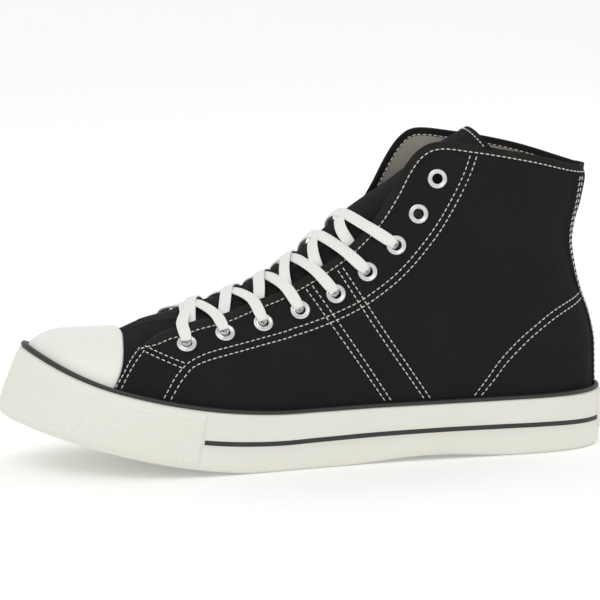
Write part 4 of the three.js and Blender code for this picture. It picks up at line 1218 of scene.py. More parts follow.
@dataclass
class VampTongue:
    """The vamp under the toe cap, which runs on as the tongue."""

    thickness: float = 1.6
    radius: float = 37.0
    width: float = 66.0
    columns: int = 61
    hem_row: int = -3
    hidden_height: float = 15.0

    LINE = (
        (-94.8, 58.6), (-74, 69.4), (-57.5, 75.8), (-43.6, 80.9), (-31.9, 85.7), (-13.8, 93), (-2.6, 99.3),
        (11, 110), (24, 120.4), (45.8, 134.5), (72.2, 152.1), (84.9, 159),
    )

    def centre_line(self, lift: float = 0.0) -> np.ndarray:
        """The ridge from the nose to the top of the tongue, in the side view.

        Args:
            lift: Distance above the surface; not used.

        Returns:
            Points of the line, toe first.
        """
        nose = np.linspace(FORM.toe_x(0) + 1.0, -100, 40)
        vamp = np.stack([nose, FORM.ridge(nose, 0.0)], axis=1)
        tongue = smooth_path(list(self.LINE), 220)
        tongue = tongue[tongue[:, 0] > -80]
        bridge = smooth_path([tuple(vamp[-6]), tuple(vamp[-1]), tuple(tongue[0]), tuple(tongue[12])], 60)
        inner = bridge[(bridge[:, 0] > vamp[-1, 0]) & (bridge[:, 0] < tongue[0, 0])]
        return np.vstack([vamp, inner, tongue])

    def surface(self, grow: float) -> np.ndarray:
        """Bent grid of the strip: form sections over the toes, and behind them an arc square
        to the centre line, pressed in where the quarters leave it no room.

        Args:
            grow: Distance outside the form.

        Returns:
            Bent grid, rows by columns by three.
        """
        line = even(self.centre_line(), 210)
        t = np.linspace(-1, 1, self.columns)
        side = np.where(t < 0, -1, 1)[None]
        low_x = np.interp(line[:, 0], [FORM.toe_x(0), -97], [FORM.toe_x(0) + 0.5, -104])
        q = np.sin(np.pi / 2 * (1 - np.abs(t)) ** 0.9)
        ridge = np.stack([line[:, 0], FORM.ridge(line[:, 0], grow)], axis=1)
        low = np.stack([low_x, np.full(len(line), self.hidden_height)], axis=1)
        flat = lerp(low[:, None], ridge[:, None], q[None, :, None])
        y = side * FORM.half_width(flat, side, grow)
        y[:, self.columns // 2] = 0
        vamp = np.stack([flat[..., 0], y, flat[..., 1]], axis=-1)
        step = unit(np.gradient(line, axis=0))
        normal = np.stack([-step[:, 1], step[:, 0]], axis=1)
        angle = t * self.width / 2 / self.radius
        drop = (self.radius + grow) * np.cos(angle) - self.radius
        arc = line[:, None] + normal[:, None] * drop[None, :, None]
        across = (self.radius + grow) * np.sin(angle)
        room = FORM.half_width(arc, side, -1.75 + grow)
        inside = (arc[..., 1] < 150) & (arc[..., 0] > -90)
        across = np.where(
            inside, np.sign(t) * np.minimum(np.abs(across)[None], np.maximum(room, 12)), across[None]
        )
        tongue = np.stack([arc[..., 0], across, arc[..., 1]], axis=-1)
        share = smooth(-100, -82, line[:, 0])[:, None, None]
        points = lerp(vamp, tongue, share)
        points[..., 2] += self.creases(points)
        return FORM.bend(points)

    @staticmethod
    def creases(points: np.ndarray) -> np.ndarray:
        """Two soft pleats that part behind the cap, and a dip across the vamp there.

        Args:
            points: Grid of points, rows by columns by three.

        Returns:
            One height for each place.
        """
        x, y = points[..., 0], np.abs(points[..., 1])
        near = smooth(-108, -102, x) * smooth(-72, -82, x)
        pleat = np.exp(-(((y - 2 - 0.43 * (x + 103)) / 1.7) ** 2))
        dip = np.exp(-(((x + 100) / 3.5) ** 2)) * smooth(26, 8, y)
        return near * (0.7 * pleat - 0.3 * dip)

    def wall(self) -> list[Cells]:
        """The strip with its thickness."""
        outer, inner = self.surface(0.0), self.surface(-self.thickness)
        cloth = cloth_lengths(outer)
        return wall_cells(outer, inner, cloth, (Cover.CANVAS.value, Cover.LINING.value))

    def hem_path(self) -> tuple[np.ndarray, np.ndarray]:
        """The stitch row along the tongue's top, and its directions.

        Returns:
            Points of the row and a direction for each.
        """
        outer = self.surface(0.0)
        normals = grid_normals(outer)
        normals *= np.where(normals[..., 2:3] < 0, -1, 1)
        return outer[self.hem_row, 2:-2], normals[self.hem_row, 2:-2]


@dataclass
class ToeCap:
    """The rubber cap over the toes."""

    outer_grow: float = 2.1
    inner_grow: float = 0.3
    rows: int = 44
    columns: int = 56
    low: float = 22.0

    EDGE = ((-110.4, 22), (-107.7, 31.8), (-106.1, 40.2), (-105.8, 46.2), (-105.6, 51), (-105.1, 54))

    def grid(self, side: int) -> np.ndarray:
        """Side view grid from the nose to the rear edge, even on the form both ways.

        Args:
            side: The side, by the sign of its Y.

        Returns:
            Rows by columns by two.
        """
        grow = self.outer_grow
        nose = FORM.toe_x(grow)
        start = FORM.ridge(np.array(nose), grow)
        edge = smooth_path(list(self.EDGE), 160)
        past = edge[:, 1] > FORM.ridge(edge[:, 0], grow)
        edge = edge[: past.argmax() + 1] if past.any() else edge
        edge = even(edge, 160)
        edge[-1, 1] = FORM.ridge(edge[-1, 0], grow)
        s = np.linspace(0, 1, 160) ** 2
        bottom = np.stack([lerp(nose, edge[0, 0], s), np.full(160, self.low)], axis=1)
        top_x = lerp(nose, edge[-1, 0], s)
        top = np.stack([top_x, FORM.ridge(top_x, grow)], axis=1)
        rise = np.sin(np.pi / 2 * np.linspace(0, 1, 160))
        front = np.stack([np.full(160, nose), lerp(self.low, start, rise)], axis=1)
        edge_run = np.linspace(0, 1, 160)
        back = np.stack(
            [np.interp(rise, edge_run, edge[:, 0]), np.interp(rise, edge_run, edge[:, 1])], axis=1
        )
        grid = fill_outline(bottom, top, front, back)
        grid[..., 1] = np.minimum(grid[..., 1], FORM.ridge(grid[..., 0], grow))
        columns = FORM.respace(grid.transpose(1, 0, 2), side, grow, self.rows).transpose(1, 0, 2)
        return FORM.respace(columns, side, grow, self.columns)

    def wall(self) -> list[Cells]:
        """Both halves of the cap as one wall, with its rear edge rounded.

        Returns:
            The cells of the piece.
        """
        outs, ins = [], []
        for side in (Side.OUTER.value, Side.INNER.value):
            grid = self.grid(side)
            thin = np.ones((self.rows, self.columns))
            thin[:, -4:] = [0.97, 0.86, 0.62, 0.15]
            grow = self.inner_grow + (self.outer_grow - self.inner_grow) * thin
            outs.append(self.on_form(grid, side, grow))
            ins.append(self.on_form(grid, side, np.full_like(grow, self.inner_grow)))
        face = np.concatenate([outs[0], outs[1][-2::-1]], axis=0)
        inside = np.concatenate([ins[0], ins[1][-2::-1]], axis=0)
        return wall_cells(face, inside, cloth_lengths(face))

    def on_form(self, grid: np.ndarray, side: int, grow: np.ndarray) -> np.ndarray:
        """The grid moved to another growth: its share of the way to nose and ridge is kept.

        Args:
            grid: Side view grid, rows by columns by two.
            side: The side, by the sign of its Y.
            grow: Distance outside the form.

        Returns:
            The points on the form.
        """
        moved = grid.copy()
        reach = self.outer_grow - grow
        near_nose = smooth(30, 0, grid[..., 0] - FORM.toe_x(self.outer_grow))
        moved[..., 0] += reach * near_nose
        top, top_here = FORM.ridge(grid[..., 0], self.outer_grow), FORM.ridge(moved[..., 0], grow)
        share = np.clip((grid[..., 1] - self.low) / (top - self.low), 0, 1)
        moved[..., 1] = lerp(self.low, top_here, share)
        return FORM.skin(moved, side, grow)


@dataclass
class BackStay:
    """The strip up the back of the heel."""

    width: float = 26.4
    inner_grow: float = 0.75
    outer_grow: float = 2.0
    low: float = 30.0
    high: float = 136.2
    stations: int = 70

    # Distance of each stitch row from the middle line, and its lean.
    ROWS = ((-12.1, 0.4), (-10.3, -0.4), (10.3, -0.4), (12.1, 0.4))

    def points(self, grow: np.ndarray, across: np.ndarray, heights: np.ndarray) -> np.ndarray:
        """Places on the form's back at distances from the middle line: the distance along is
        found where the half width equals the distance across.

        Args:
            grow: Distance outside the form.
            across: Distances from the middle line.
            heights: Height of each row.

        Returns:
            Bent grid, rows by columns by three.
        """
        rows = []
        for height, spread in zip(heights, grow):
            back = FORM.back_x(height, spread)
            x = back[:, None] - np.linspace(0, 1, 300)[None] ** 2 * 16
            side = np.where(across < 0, -1, 1)
            half = FORM.half_width(
                np.stack([x, np.full_like(x, height)], axis=-1), side[:, None], spread[:, None]
            )
            found = [np.interp(abs(a), h, p) for a, h, p in zip(across, half, x)]
            rows.append(np.stack([found, across, np.full(len(across), height)], axis=1))
        return FORM.bend(np.array(rows))

    def wall(self) -> list[Cells]:
        """The strip with rounded edges.

        Returns:
            The cells of the piece.
        """
        t = np.linspace(-1, 1, 25)
        across = self.width / 2 * np.sin(np.pi / 2 * t)
        heights = np.linspace(self.low, self.high, self.stations)
        lift = np.sqrt(np.maximum(1 - np.abs(t) ** 10, 0))
        thickness = self.outer_grow - self.inner_grow
        outer = self.inner_grow + thickness * np.tile(lift, (self.stations, 1))
        outer[-3:] = self.inner_grow + (outer[-3:] - self.inner_grow) * np.array([[0.9], [0.6], [0.1]])
        face = self.points(outer, across, heights)
        inside = self.points(np.full_like(outer, self.inner_grow - 0.1), across, heights)
        return wall_cells(face, inside, cloth_lengths(face))

    def rows(self, stitcher: Stitcher) -> list[Cells]:
        """Two stitch rows near each edge, leaning towards each other.

        Args:
            stitcher: What lays the threads.

        Returns:
            The cells of each row of threads.
        """
        heights = np.linspace(self.low + 1, self.high - 2.2, 120)
        made = []
        for place, slant in self.ROWS:
            across = np.array([place - 0.5, place, place + 0.5])
            grid = self.points(np.full((120, 3), self.outer_grow), across, heights)
            normals = grid_normals(grid)
            normals *= np.where(normals[..., 0:1] < 0, -1, 1)
            made.append(stitcher.threads(grid[:, 1], normals[:, 1], slant))
        return made


# Sole.


@dataclass
class RimPieces:
    """Foxing, piping, toe bumper and heel label, all run round the rim."""

    gap: float = 0.3
    lift: float = 0.15
    forefoot_drop: float = 1.3
    stripe_width: float = 2.3
    bumper_end: float = 0.364
    label_half: float = 0.083
    stations: int = 640
    diamond_width: float = 3.4
    diamond_height: float = 3.0
    diamond_depth: float = 0.5
    rib_pitch: float = 1.5
    rib_depth: float = 0.14
    corner_height: float = 4.2
    corner_depth: float = 2.0
    label_low: float = 8.0

    # Place along the shoe and height of the stripe's middle.
    STRIPE = ((-60, 12.7), (0, 14.2), (63, 15), (110, 14.6), (150.5, 13.4))

    def ring(self, insets: np.ndarray, heights: np.ndarray, turns: np.ndarray) -> np.ndarray:
        """Bent grid of a section run along the rim.

        Args:
            insets: Rim inset for each turn and section point.
            heights: Height for each turn and section point.
            turns: The rim's turns.
        """
        place = FORM.rim(turns[:, None] + 0 * insets, insets)
        return FORM.bend(np.stack([place[..., 0], place[..., 1], heights], axis=-1))

    def turns(self) -> np.ndarray:
        """Stations all round, closer together at the toe and heel by the rim's own spacing."""
        return np.linspace(0, 2, self.stations + 1)

    def bottom(self, x: np.ndarray) -> np.ndarray:
        """Height of the sidewall's lower edge, let down a little under the forefoot."""
        return FORM.arch(x) + self.lift - self.forefoot_drop * smooth(-12, -46, x)

    def foxing(self) -> list[Cells]:
        """The sidewall with its black stripe as a raised moulding between bumper and label.

        Returns:
            The cells of the piece.
        """
        turns = self.turns()
        x = FORM.rim(turns, 0 * turns)[:, 0]
        low, top = self.bottom(x), FORM.foxing_top(x)
        away = np.minimum(turns, 2 - turns)
        striped = (away > self.bumper_end) & (away < 1 - self.label_half)
        relief = np.where(striped, -0.4, 0.0)
        half, mid = self.stripe_width / 2, Table(list(self.STRIPE))(x)
        deep = FORM.foxing_wall
        rows = [
            (deep + 0 * x, low), (1.9 + 0 * x, low), (1.0 + 0 * x, low + 0.35), (0.4 + 0 * x, low + 1.1),
            (0.08 + 0 * x, low + 2.3), (0 * x, low + 3.6), (-0.12 + 0 * x, (low + mid) / 2 + 1.5),
            (0 * x, mid - half), (relief, mid - half + 0.25), (relief * 1.15, mid),
            (relief, mid + half - 0.25), (0 * x, mid + half), (-0.05 + 0 * x, mid + 5),
            (0.1 + 0 * x, top - 1.2), (0.45 + 0 * x, top - 0.25), (0.9 + 0 * x, top),
            (deep + 0 * x, top), (deep + 0 * x, low),
        ]
        insets = np.stack([row[0] for row in rows], axis=1)
        heights = np.stack([row[1] for row in rows], axis=1)
        grid = self.ring(insets, heights, turns)
        finish = np.zeros((len(turns) - 1, len(rows) - 1), dtype=int)
        finish[:, 7:11] = np.where(striped[:-1] & striped[1:], 1, 0)[:, None]
        return [sheet_cells(grid, cloth_lengths(grid), finish)]

    def piping(self) -> list[Cells]:
        """The thin black strip on top of the sidewall, a little proud and rounded.

        Returns:
            The cells of the piece.
        """
        turns = self.turns()
        x = FORM.rim(turns, 0 * turns)[:, 0]
        base = FORM.foxing_top(x) + self.gap - 0.25
        tall = 1.75 + 0.6 * smooth(0.86, 1.0, FORM.share(x))
        angle = np.linspace(-np.pi / 2, np.pi / 2, 8)
        deep = FORM.foxing_wall + 0 * x
        insets = [deep] + [0.75 - 0.85 * math.cos(a) + 0 * x for a in angle] + [deep] * 2
        heights = [base] + [base + tall * (1 + math.sin(a)) / 2 for a in angle] + [base + tall, base]
        grid = self.ring(np.stack(insets, axis=1), np.stack(heights, axis=1), turns)
        return [sheet_cells(grid, cloth_lengths(grid))]

    def bumper(self) -> list[Cells]:
        """The textured band round the toe: a plain lip, fine level ribs and, below, pyramids.

        The pyramids' height falls off from each centre by the larger share of two slanting
        waves; the ribs are a sine of the height.

        Returns:
            The cells of the piece.
        """
        turns = np.linspace(-self.bumper_end, self.bumper_end, 520)
        rim = FORM.rim(turns, 0 * turns)
        x = rim[:, 0]
        run = distances(rim)
        low, top = self.bottom(x) + 0.3, FORM.foxing_top(x) - 0.9
        f = np.concatenate([[0.0, 0.02, 0.05], np.linspace(0.08, 0.95, 62), [0.975, 0.99, 1.0]])[None]
        heights = lerp(low[:, None], top[:, None], f)
        over = heights - low[:, None]
        a = run[:, None] / self.diamond_width + over / self.diamond_height
        b = run[:, None] / self.diamond_width - over / self.diamond_height
        peak = np.minimum(1 - np.abs(2 * (a % 1) - 1), 1 - np.abs(2 * (b % 1) - 1))
        diamonds = self.diamond_depth * peak * smooth(0.0, 0.06, f) * smooth(0.52, 0.47, f)
        ribs = self.rib_depth * np.sin(2 * np.pi * over / self.rib_pitch)
        ribs = ribs * smooth(0.5, 0.54, f) * smooth(0.80, 0.76, f)
        groove = -0.3 * np.exp(-(((f - 0.83) / 0.012) ** 2))
        body = 0.75 * smooth(1.0, 0.86, f) + 0.45 * np.sin(np.pi * f)
        ends = smooth(0, 0.8, run[-1] / 2 - np.abs(run - run[-1] / 2))[:, None]
        corner = self.corner_depth * np.clip(1 - over / self.corner_height, 0, 1) ** 2
        out = 0.06 + (body + diamonds + ribs + groove) * ends - corner
        outer = self.ring(-out, heights, turns)
        inner = self.ring(np.maximum(0.2, 0.4 - out), heights, turns)
        return wall_cells(outer, inner, cloth_lengths(outer))

    def label(self) -> list[Cells]:
        """The plain rubber plate on the heel, with rounded corners and a raised border.

        Returns:
            The cells of the piece.
        """
        turns = 1 + np.linspace(-self.label_half, self.label_half, 61)
        t = np.linspace(-1, 1, 61)[:, None]
        f = np.linspace(0, 1, 31)
        x = FORM.rim(turns, 0 * turns)[:, 0]
        low, top = self.label_low + 0 * x, FORM.foxing_top(x) - 1.0
        heights = lerp(low[:, None], top[:, None], f[None])
        v = 2 * f[None] - 1
        inside = 1 - np.maximum(np.abs(t) ** 14 + np.abs(v) ** 8, 0)
        border = smooth(0.0, 0.35, inside)
        plate = 1.0 * np.sqrt(np.clip(border, 0, 1)) - 0.2 * smooth(0.55, 0.8, inside)
        outer = self.ring(-plate - 0.05, heights, turns)
        inner = self.ring(0 * heights + 0.2, heights, turns)
        return wall_cells(outer, inner, cloth_lengths(outer))


@dataclass
class Tread:
    """The outsole inside the foxing: chevron grooves with fine ribs between them."""

    inset: float = 2.3
    top: float = 12.0
    depth: float = 2.2
    spacing: float = 15.0
    lead: float = 0.22
    margin: float = 0.88

    def wall(self) -> list[Cells]:
        """The slab: each groove is a smooth dip in the distance from its slanting line, and
        the ribs are a sine of the same distance.

        Returns:
            The cells of the piece.
        """
        turns = np.linspace(0, 1, 341)
        t = np.linspace(-1, 1, 81)
        outer_rim = FORM.rim(turns, self.inset + 0 * turns)
        inner_rim = FORM.rim(2 - turns, self.inset + 0 * turns)
        share = (t[None, :, None] + 1) / 2
        plan = lerp(outer_rim[:, None], inner_rim[:, None], share)
        x, y = plan[..., 0], plan[..., 1]
        base = RimPieces().bottom(x) - 0.05
        along = (FORM.sole_length / 2 - x + self.lead * np.abs(y)) / self.spacing
        away = np.abs(along % 1 - 0.5) * self.spacing
        inside = smooth(1.0, self.margin, np.abs(t))[None] * smooth(0, 0.02, turns)[:, None]
        inside = inside * smooth(1, 0.98, turns)[:, None]
        stretch = 1 - smooth(0.24, 0.27, FORM.share(x)) * smooth(0.49, 0.46, FORM.share(x))
        grooves = self.depth * smooth(2.0, 1.2, away) * stretch
        ribs = 0.25 * (1 - np.cos(2 * np.pi * away / 2.5)) / 2
        bottom = base + np.maximum(grooves, ribs) * inside
        lower = FORM.bend(np.stack([x, y, bottom], axis=-1))
        upper = FORM.bend(np.stack([x, y, self.top + 0 * x], axis=-1))
        return wall_cells(lower, upper, cloth_lengths(lower))


# Lacing.


@dataclass
class Lacing:
    """Eyelets and the one flat lace through seven pairs of them."""

    spacing: float = 19.0
    laced: int = 7
    stations: int = 640
    lace_width: float = 5.9
    lace_thickness: float = 1.35
    entry_share: float = -0.12
    cloth: float = Quarters.outer_grow

    PLACES = (
        (-75.4, 56), (-54.7, 63.4), (-31.9, 69.4), (-7.4, 75.3), (10.5, 82.4), (26.5, 92.5), (40.9, 105),
        (52.2, 119.8), (62, 136.5),
    )
    # For each crossing: where a strand comes from under the throat edge, as a share of the
    # spacing past the eyelet; how far the crossing slides down the tongue; and whether the
    # strand from under the outer edge lies on top.
    CROSSINGS = (
        (0.3, 1.2, True), (0.12, 0, True), (0.09, 0, True), (-0.02, 0, True), (0.02, 0.8, False),
        (0.17, 2.8, False),
    )
    # Half section of an eyelet: radius and level over the cloth, from the inner roll round.
    SECTION = (
        (2.5, -3.0), (2.95, -3.3), (3.6, -3.1), (3.8, -2.75), (3.4, -2.5), (2.8, -2.4), (2.8, 0.3),
        (4.55, 0.33), (4.85, 0.5), (4.85, 0.85), (4.6, 1.18), (4.15, 1.4), (3.75, 1.35), (3.45, 1.02),
        (3.2, 1.02), (2.95, 1.24), (2.7, 1.2), (2.53, 0.9), (2.5, 0.3), (2.5, -3.0),
    )

    def seat(self, index: int, side: int) -> tuple[np.ndarray, np.ndarray]:
        """Place of an eyelet on the cloth and the direction out of it."""
        flat = np.array(self.PLACES[index])
        return FORM.skin(flat, side, self.cloth), FORM.normal(flat, side, self.cloth)

    def centres(self) -> np.ndarray:
        """Places of all eyelets on both sides."""
        return np.array([self.seat(k, s)[0] for k in range(len(self.PLACES)) for s in (-1, 1)])

    def eyelet(self, index: int, side: int) -> Cells:
        """One eyelet turned on its axis: a rolled flange outside, a barrel, and a small roll inside.

        Args:
            index: Number of the eyelet pair, counted from 0 at the toe.
            side: The side, by the sign of its Y.

        Returns:
            The cells of the ring.
        """
        place, normal = self.seat(index, side)
        profile = np.array(self.SECTION)
        angle = np.linspace(0, 2 * np.pi, 33)
        along = unit(np.cross(normal, np.array([0.0, 0.0, 1.0])))
        up = np.cross(along, normal)
        ring = np.cos(angle)[:, None] * along + np.sin(angle)[:, None] * up
        points = place + profile[:, None, :1] * ring[None] + profile[:, None, 1:] * normal
        return sheet_cells(points, cloth_lengths(points))

    def edge_stop(self, index: int, shift: float) -> np.ndarray:
        """A place on the throat edge: nearest to an eyelet, then moved along by a share of
        the spacing.

        Args:
            index: Number of the eyelet pair, counted from 0 at the toe.
            shift: Share of the spacing to move along.

        Returns:
            Place along and height.
        """
        edge = smooth_path(list(Quarters.TOP), 1200)
        nearest = np.linalg.norm(edge - np.array(self.PLACES[index]), axis=1).argmin()
        run = distances(edge)
        at = run[nearest] + shift * self.spacing
        return np.array([np.interp(at, run, edge[:, 0]), np.interp(at, run, edge[:, 1])])

    def over_edge(self, index: int, side: int, shift: float, lift: float) -> tuple[np.ndarray, np.ndarray]:
        """A stop over or under the throat edge, and its direction, tipped upwards.

        Args:
            index: Number of the eyelet pair, counted from 0 at the toe.
            side: The side, by the sign of its Y.
            shift: Share of the spacing to move along.
            lift: Distance above the surface.

        Returns:
            Place and direction.
        """
        flat = self.edge_stop(index, shift)
        normal = FORM.normal(flat, side, self.cloth)
        normal = unit(normal + np.array([0, 0, 0.5]))
        return FORM.skin(flat, side, self.cloth) + normal * lift, normal

    @staticmethod
    def crown(y: float) -> float:
        """How far the tongue's ridge stands above its surface at a distance to one side."""
        return VampTongue.radius - math.sqrt(VampTongue.radius**2 - y**2)

    def over_tongue(
        self, near: np.ndarray, y: float, lift: float, slide: float
    ) -> tuple[np.ndarray, np.ndarray]:
        """A stop over the tongue at a distance to one side, slid down its line.

        Args:
            near: The point that the stop starts nearest to.
            y: Distance to one side.
            lift: Distance above the surface.
            slide: Millimetres to move down the line.

        Returns:
            Place and direction.
        """
        flat = VampTongue().centre_line()
        line = FORM.bend(np.stack([flat[:, 0], 0 * flat[:, 0], flat[:, 1]], axis=1))
        line = even(line, 600)[:, [0, 2]]
        nearest = np.linalg.norm(line - near[[0, 2]], axis=1).argmin()
        i = int(np.clip(nearest - slide * 600 / distances(line)[-1], 1, len(line) - 2))
        step = unit(line[i + 1] - line[i - 1])
        normal = np.array([-step[1], 0.0, step[0]])
        place = np.array([line[i, 0], y, line[i, 1]]) + normal * (lift - self.crown(y))
        return place, unit(normal + np.array([0, y / VampTongue.radius, 0]))

    def dive(self, seat: np.ndarray, normal: np.ndarray, entry: np.ndarray) -> list[tuple]:
        """Stops that lead a strand over the flange and down into its eyelet.

        Args:
            seat: Place of the eyelet.
            normal: Direction out of the eyelet.
            entry: Where the strand crosses the throat edge.

        Returns:
            Place, direction, width and thickness of each stop.
        """
        width, thick = self.lace_width, self.lace_thickness
        inward = unit(entry - seat)
        return [
            (seat + inward * 4.6 + normal * (1.3 + thick / 2), normal, width * 0.98, thick * 1.05),
            (seat + inward * 2.4 + normal * (1.1 + thick / 2), unit(normal + 0.25 * inward), 5.1, 1.7),
            (seat + inward * 0.9 + normal * 0.4, unit(normal + 1.2 * inward), 4.5, 2.2),
            (seat + inward * 0.4 - normal * 2.0, unit(0.2 * normal + inward), 4.0, 2.5),
        ]

    def strand(self, index: int, side: int) -> list[tuple]:
        """Stops of one strand, from under the throat edge of a side, over the tongue and down
        into the next eyelet of the other side.

        Args:
            index: Number of the eyelet pair, counted from 0 at the toe.
            side: The side, by the sign of its Y.

        Returns:
            Place, direction, width and thickness of each stop.
        """
        width, thick = self.lace_width, self.lace_thickness
        exit_share, slide, outer_on_top = self.CROSSINGS[index]
        seat, normal = self.seat(index, side)
        out, out_normal = self.over_edge(index, side, exit_share, -2.6)
        far_seat, far_normal = self.seat(index + 1, -side)
        entry, entry_normal = self.over_edge(index + 1, -side, self.entry_share, self.cloth + thick / 2)
        between = (out + entry) / 2
        between[2] += self.crown(entry[1])
        on_top = (side == Side.OUTER.value) == outer_on_top
        lift = 0.35 + thick / 2
        first, first_normal = self.over_tongue(lerp(between, out, 0.6), side * 14.0, lift, slide * 0.6)
        middle, middle_normal = self.over_tongue(between, 0.0, lift + (1.45 if on_top else 0.0), slide)
        return [
            (seat - normal * 3.4, normal, 4.0, 1.2),
            (lerp(seat, out, 0.55) - normal * 3.3, normal, 5.2, 0.8),
            (out, out_normal, 5.5, 0.9),
            (first, first_normal, width, thick),
            (middle, middle_normal, width, thick),
            (entry, entry_normal, width, thick),
            *self.dive(far_seat, far_normal, entry),
        ]

    def path(self, side: int) -> list[tuple]:
        """Stops of half of the lace, from the middle of the bar up to the top eyelet.

        Args:
            side: The side, by the sign of its Y.

        Returns:
            Place, direction, width and thickness of each stop.
        """
        width, thick = self.lace_width, self.lace_thickness
        seat, normal = self.seat(0, side)
        entry, entry_normal = self.over_edge(0, side, 0.08, self.cloth + thick / 2)
        lifted = entry.copy()
        lifted[2] += self.crown(entry[1])
        middle, middle_normal = self.over_tongue(lifted, 0.0, 0.4 + thick / 2, -4.5)
        near, near_normal = self.over_tongue(lifted, side * 11.0, 0.6 + thick / 2, -2.5)
        stops = [
            (middle, middle_normal, width, thick),
            (near, near_normal, width, thick),
            (entry, entry_normal, width, thick),
            *self.dive(seat, normal, entry),
        ]
        here = side
        for index in range(self.laced - 1):
            stops += self.strand(index, here)
            here = -here
        seat, normal = self.seat(self.laced - 1, here)
        stops.append((seat - normal * 3.6, normal, 3.6, 1.6))
        return stops

    def lace(self) -> list[Cells]:
        """The whole lace as one flat tube: an oval with flat faces, turned with each stop.

        Returns:
            The cells of the piece.
        """
        halves = []
        for side in (Side.OUTER.value, Side.INNER.value):
            stops = self.path(side)
            rows = np.array([[*place, *normal, width, thick] for place, normal, width, thick in stops])
            halves.append(smooth_path(rows, self.stations, 16))
        rows = np.vstack([halves[0][::-1], halves[1][1:]])
        centre, up = rows[:, :3], unit(rows[:, 3:6])
        along = unit(np.gradient(centre, axis=0))
        up = unit(up - (up * along).sum(1, keepdims=True) * along)
        across = np.cross(along, up)
        angle = np.linspace(0, 2 * np.pi, 17)
        wide = np.sign(np.cos(angle)) * np.abs(np.cos(angle)) ** 0.55
        tall = np.sign(np.sin(angle)) * np.abs(np.sin(angle)) ** 0.75
        half_w, half_t = rows[:, 6:7] / 2, rows[:, 7:8] / 2
        points = (
            centre[:, None] + (half_w * wide[None])[..., None] * across[:, None]
            + (half_t * tall[None])[..., None] * up[:, None]
        )
        cloth = np.zeros((*points.shape[:2], 2))
        cloth[..., 0] = half_w * wide[None]
        cloth[..., 1] = distances(centre)[:, None]
        parts = [sheet_cells(points, cloth)]
        for end in (0, -1):
            cap = np.stack([points[end], np.repeat(centre[end][None], 17, axis=0)])
            parts.append(sheet_cells(cap, np.stack([cloth[end], cloth[end]])))
        return parts


# Floor, light and camera.


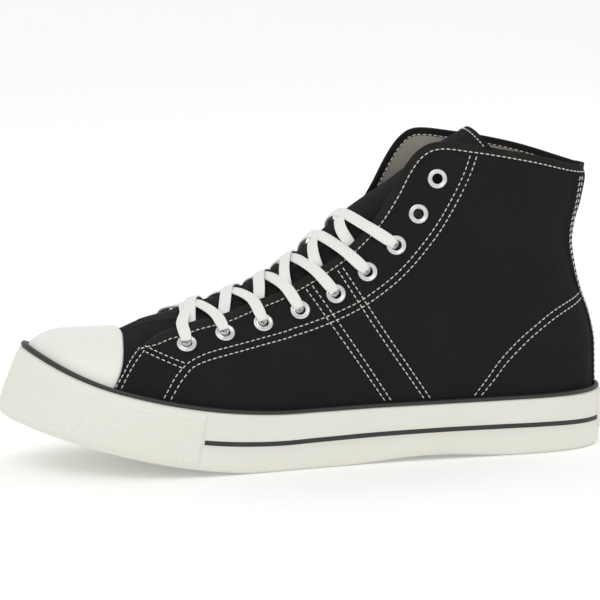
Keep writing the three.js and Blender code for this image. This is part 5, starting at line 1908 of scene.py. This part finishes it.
@dataclass(frozen=True)
class Studio:
    """A pale sweep, soft light and the photograph's camera."""

    azimuth: float = -12.5
    elevation: float = 8.5
    roll: float = -0.6
    pixels_per_mm: float = 2.034
    centre: tuple = (302.6, 302.1)
    distance: float = 1600.0
    target: tuple = (0.0, 0.0, 75.0)
    sensor: float = 36.0
    room_light: float = 0.78
    paper_glow: float = 0.16

    # Name, place in metres, size and power of each lamp.
    LAMPS = (
        ("key", (-1.0, -1.2, 2.0), 1.6, 11.0),
        ("rim", (1.4, 0.9, 1.5), 1.2, 5.0),
        ("fill", (0.6, -2.0, 0.7), 1.6, 2.5),
    )

    def camera(self) -> None:
        """Places the camera so that the target lands on its pixel at its scale."""
        a, e, roll = (math.radians(v) for v in (self.azimuth, self.elevation, self.roll))
        back = np.array([math.sin(a) * math.cos(e), -math.cos(a) * math.cos(e), math.sin(e)])
        right = np.array([math.cos(a), math.sin(a), 0.0])
        up = np.cross(back, right)
        right, up = (
            math.cos(roll) * right + math.sin(roll) * up,
            -math.sin(roll) * right + math.cos(roll) * up,
        )
        middle = PHOTO_PIXELS / 2
        offset = (self.centre[0] - middle) * -right + (self.centre[1] - middle) * up
        aim = np.array(self.target) + offset / self.pixels_per_mm
        place = (aim + back * self.distance + MODEL_SHIFT) / 1000
        data = bpy.data.cameras.new("camera")
        data.sensor_width = self.sensor
        data.lens = self.sensor * self.pixels_per_mm * self.distance / PHOTO_PIXELS
        data.clip_end = 50
        camera = bpy.data.objects.new("camera", data)
        turn = Matrix((right, up, back)).transposed().to_4x4()
        camera.matrix_world = Matrix.Translation(Vector(place)) @ turn
        bpy.context.collection.objects.link(camera)
        bpy.context.scene.camera = camera

    def sweep(self) -> None:
        """A floor that curves up into a backdrop, in one sheet."""
        along = np.linspace(-6, 6, 3)
        low = np.stack([np.linspace(-4, 2.2, 6), np.zeros(6)], axis=1)
        turn = np.linspace(0, np.pi / 2, 14)[1:]
        curve = np.stack([2.2 + 1.6 * np.sin(turn), 1.6 * (1 - np.cos(turn))], axis=1)
        rise = np.array([[3.8, 3.0], [3.8, 6.0]])
        line = np.vstack([low, curve, rise])
        verts = [(x, y, z) for y, z in line for x in along]
        faces = [
            (r * 3 + c, r * 3 + c + 1, (r + 1) * 3 + c + 1, (r + 1) * 3 + c)
            for r in range(len(line) - 1) for c in range(2)
        ]
        mesh = bpy.data.meshes.new("paper_sweep")
        mesh.from_pydata(verts, [], faces)
        mesh.polygons.foreach_set("use_smooth", np.ones(len(faces), dtype=bool))
        paper, _, surface = blank_material("matt_paper")
        set_surface(surface, {
            "Base Color": to_linear("#f4f4f3"), "Roughness": 0.95, "Specular IOR Level": 0.1,
            "Emission Color": to_linear("#ffffff"), "Emission Strength": self.paper_glow,
        })
        mesh.materials.append(paper)
        floor = bpy.data.objects.new("paper_sweep", mesh)
        bpy.context.collection.objects.link(floor)

    def lights(self) -> None:
        """A bright even room, a large soft key from above the toe, and a low fill in front."""
        world = bpy.data.worlds.new("studio")
        world.use_nodes = True
        background = world.node_tree.nodes["Background"]
        set_surface(background, {"Color": to_linear("#ffffff"), "Strength": self.room_light})
        bpy.context.scene.world = world
        for name, place, size, power in self.LAMPS:
            data = bpy.data.lights.new(name, "AREA")
            data.shape = "DISK"
            data.size = size
            data.energy = power
            lamp = bpy.data.objects.new(name, data)
            aim = Vector((0, 0, 0.07)) - Vector(place)
            turn = aim.to_track_quat("-Z", "Y").to_matrix().to_4x4()
            lamp.matrix_world = Matrix.Translation(Vector(place)) @ turn
            bpy.context.collection.objects.link(lamp)

    def build(self) -> None:
        """Makes the whole studio."""
        self.camera()
        self.sweep()
        self.lights()
        bpy.context.scene.view_settings.view_transform = "Standard"


def dress_nodes(finishes: Finishes) -> None:
    """Gives the CAD nodes that stay their materials."""
    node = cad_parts["insole"]
    node.data.materials.clear()
    node.data.materials.append(finishes.lining)


def main() -> None:
    """Builds the shoe's pieces in order, then the studio."""
    logging.basicConfig(level=logging.INFO, format="%(message)s")
    finishes = Finishes()
    cloths = [finishes.canvas, finishes.lining, finishes.tape]
    lacing = Lacing()
    stitcher = Stitcher()
    quarters = Quarters(eyelets=lacing.centres())
    build_piece("upper_quarters", quarters.wall(), cloths, ("upper",))
    vamp = VampTongue()
    build_piece("vamp_and_tongue", vamp.wall(), cloths, ("tongue",))
    build_piece("toe_cap_rubber", ToeCap().wall(), [finishes.cap_rubber], ("toe_cap",))
    stay = BackStay()
    build_piece("back_strip", stay.wall(), [finishes.canvas], ("back_stay",))
    rim = RimPieces()
    build_piece(
        "foxing_band", rim.foxing(), [finishes.white_rubber, finishes.dark_rubber],
        ("foxing",)
    )
    build_piece("piping_strip", rim.piping(), [finishes.dark_rubber], ("foxing_piping",))
    build_piece("bumper_band", rim.bumper(), [finishes.white_rubber], ("toe_bumper",))
    build_piece("heel_plate", rim.label(), [finishes.white_rubber], ("heel_label",))
    build_piece("outsole_tread", Tread().wall(), [finishes.white_rubber], ("outsole",))
    threads = []
    for side in (Side.OUTER.value, Side.INNER.value):
        threads += [stitcher.threads(*quarters.edge_seam(side, inside)) for inside in (False, True)]
        threads += [stitcher.on_form(row, side, quarters.outer_grow) for row in SEAMS.rows()]
    threads += stay.rows(stitcher)
    threads.append(stitcher.threads(*vamp.hem_path()))
    build_piece("stitching", threads, [finishes.thread])
    for index in range(len(lacing.PLACES)):
        for side, word in ((-1, "outer"), (1, "inner")):
            name = f"eyelet_{word}_{index + 1}"
            build_piece(
                f"ring_{word}_{index + 1}", [lacing.eyelet(index, side)], [finishes.nickel],
                (name,)
            )
    crossings = tuple(f"lace_crossing_{k + 1}" for k in range(lacing.laced - 1))
    build_piece("lace", lacing.lace(), [finishes.lace], ("lace_bar", *crossings))
    dress_nodes(finishes)
    Studio().build()


if __name__ == "__main__":
    main()
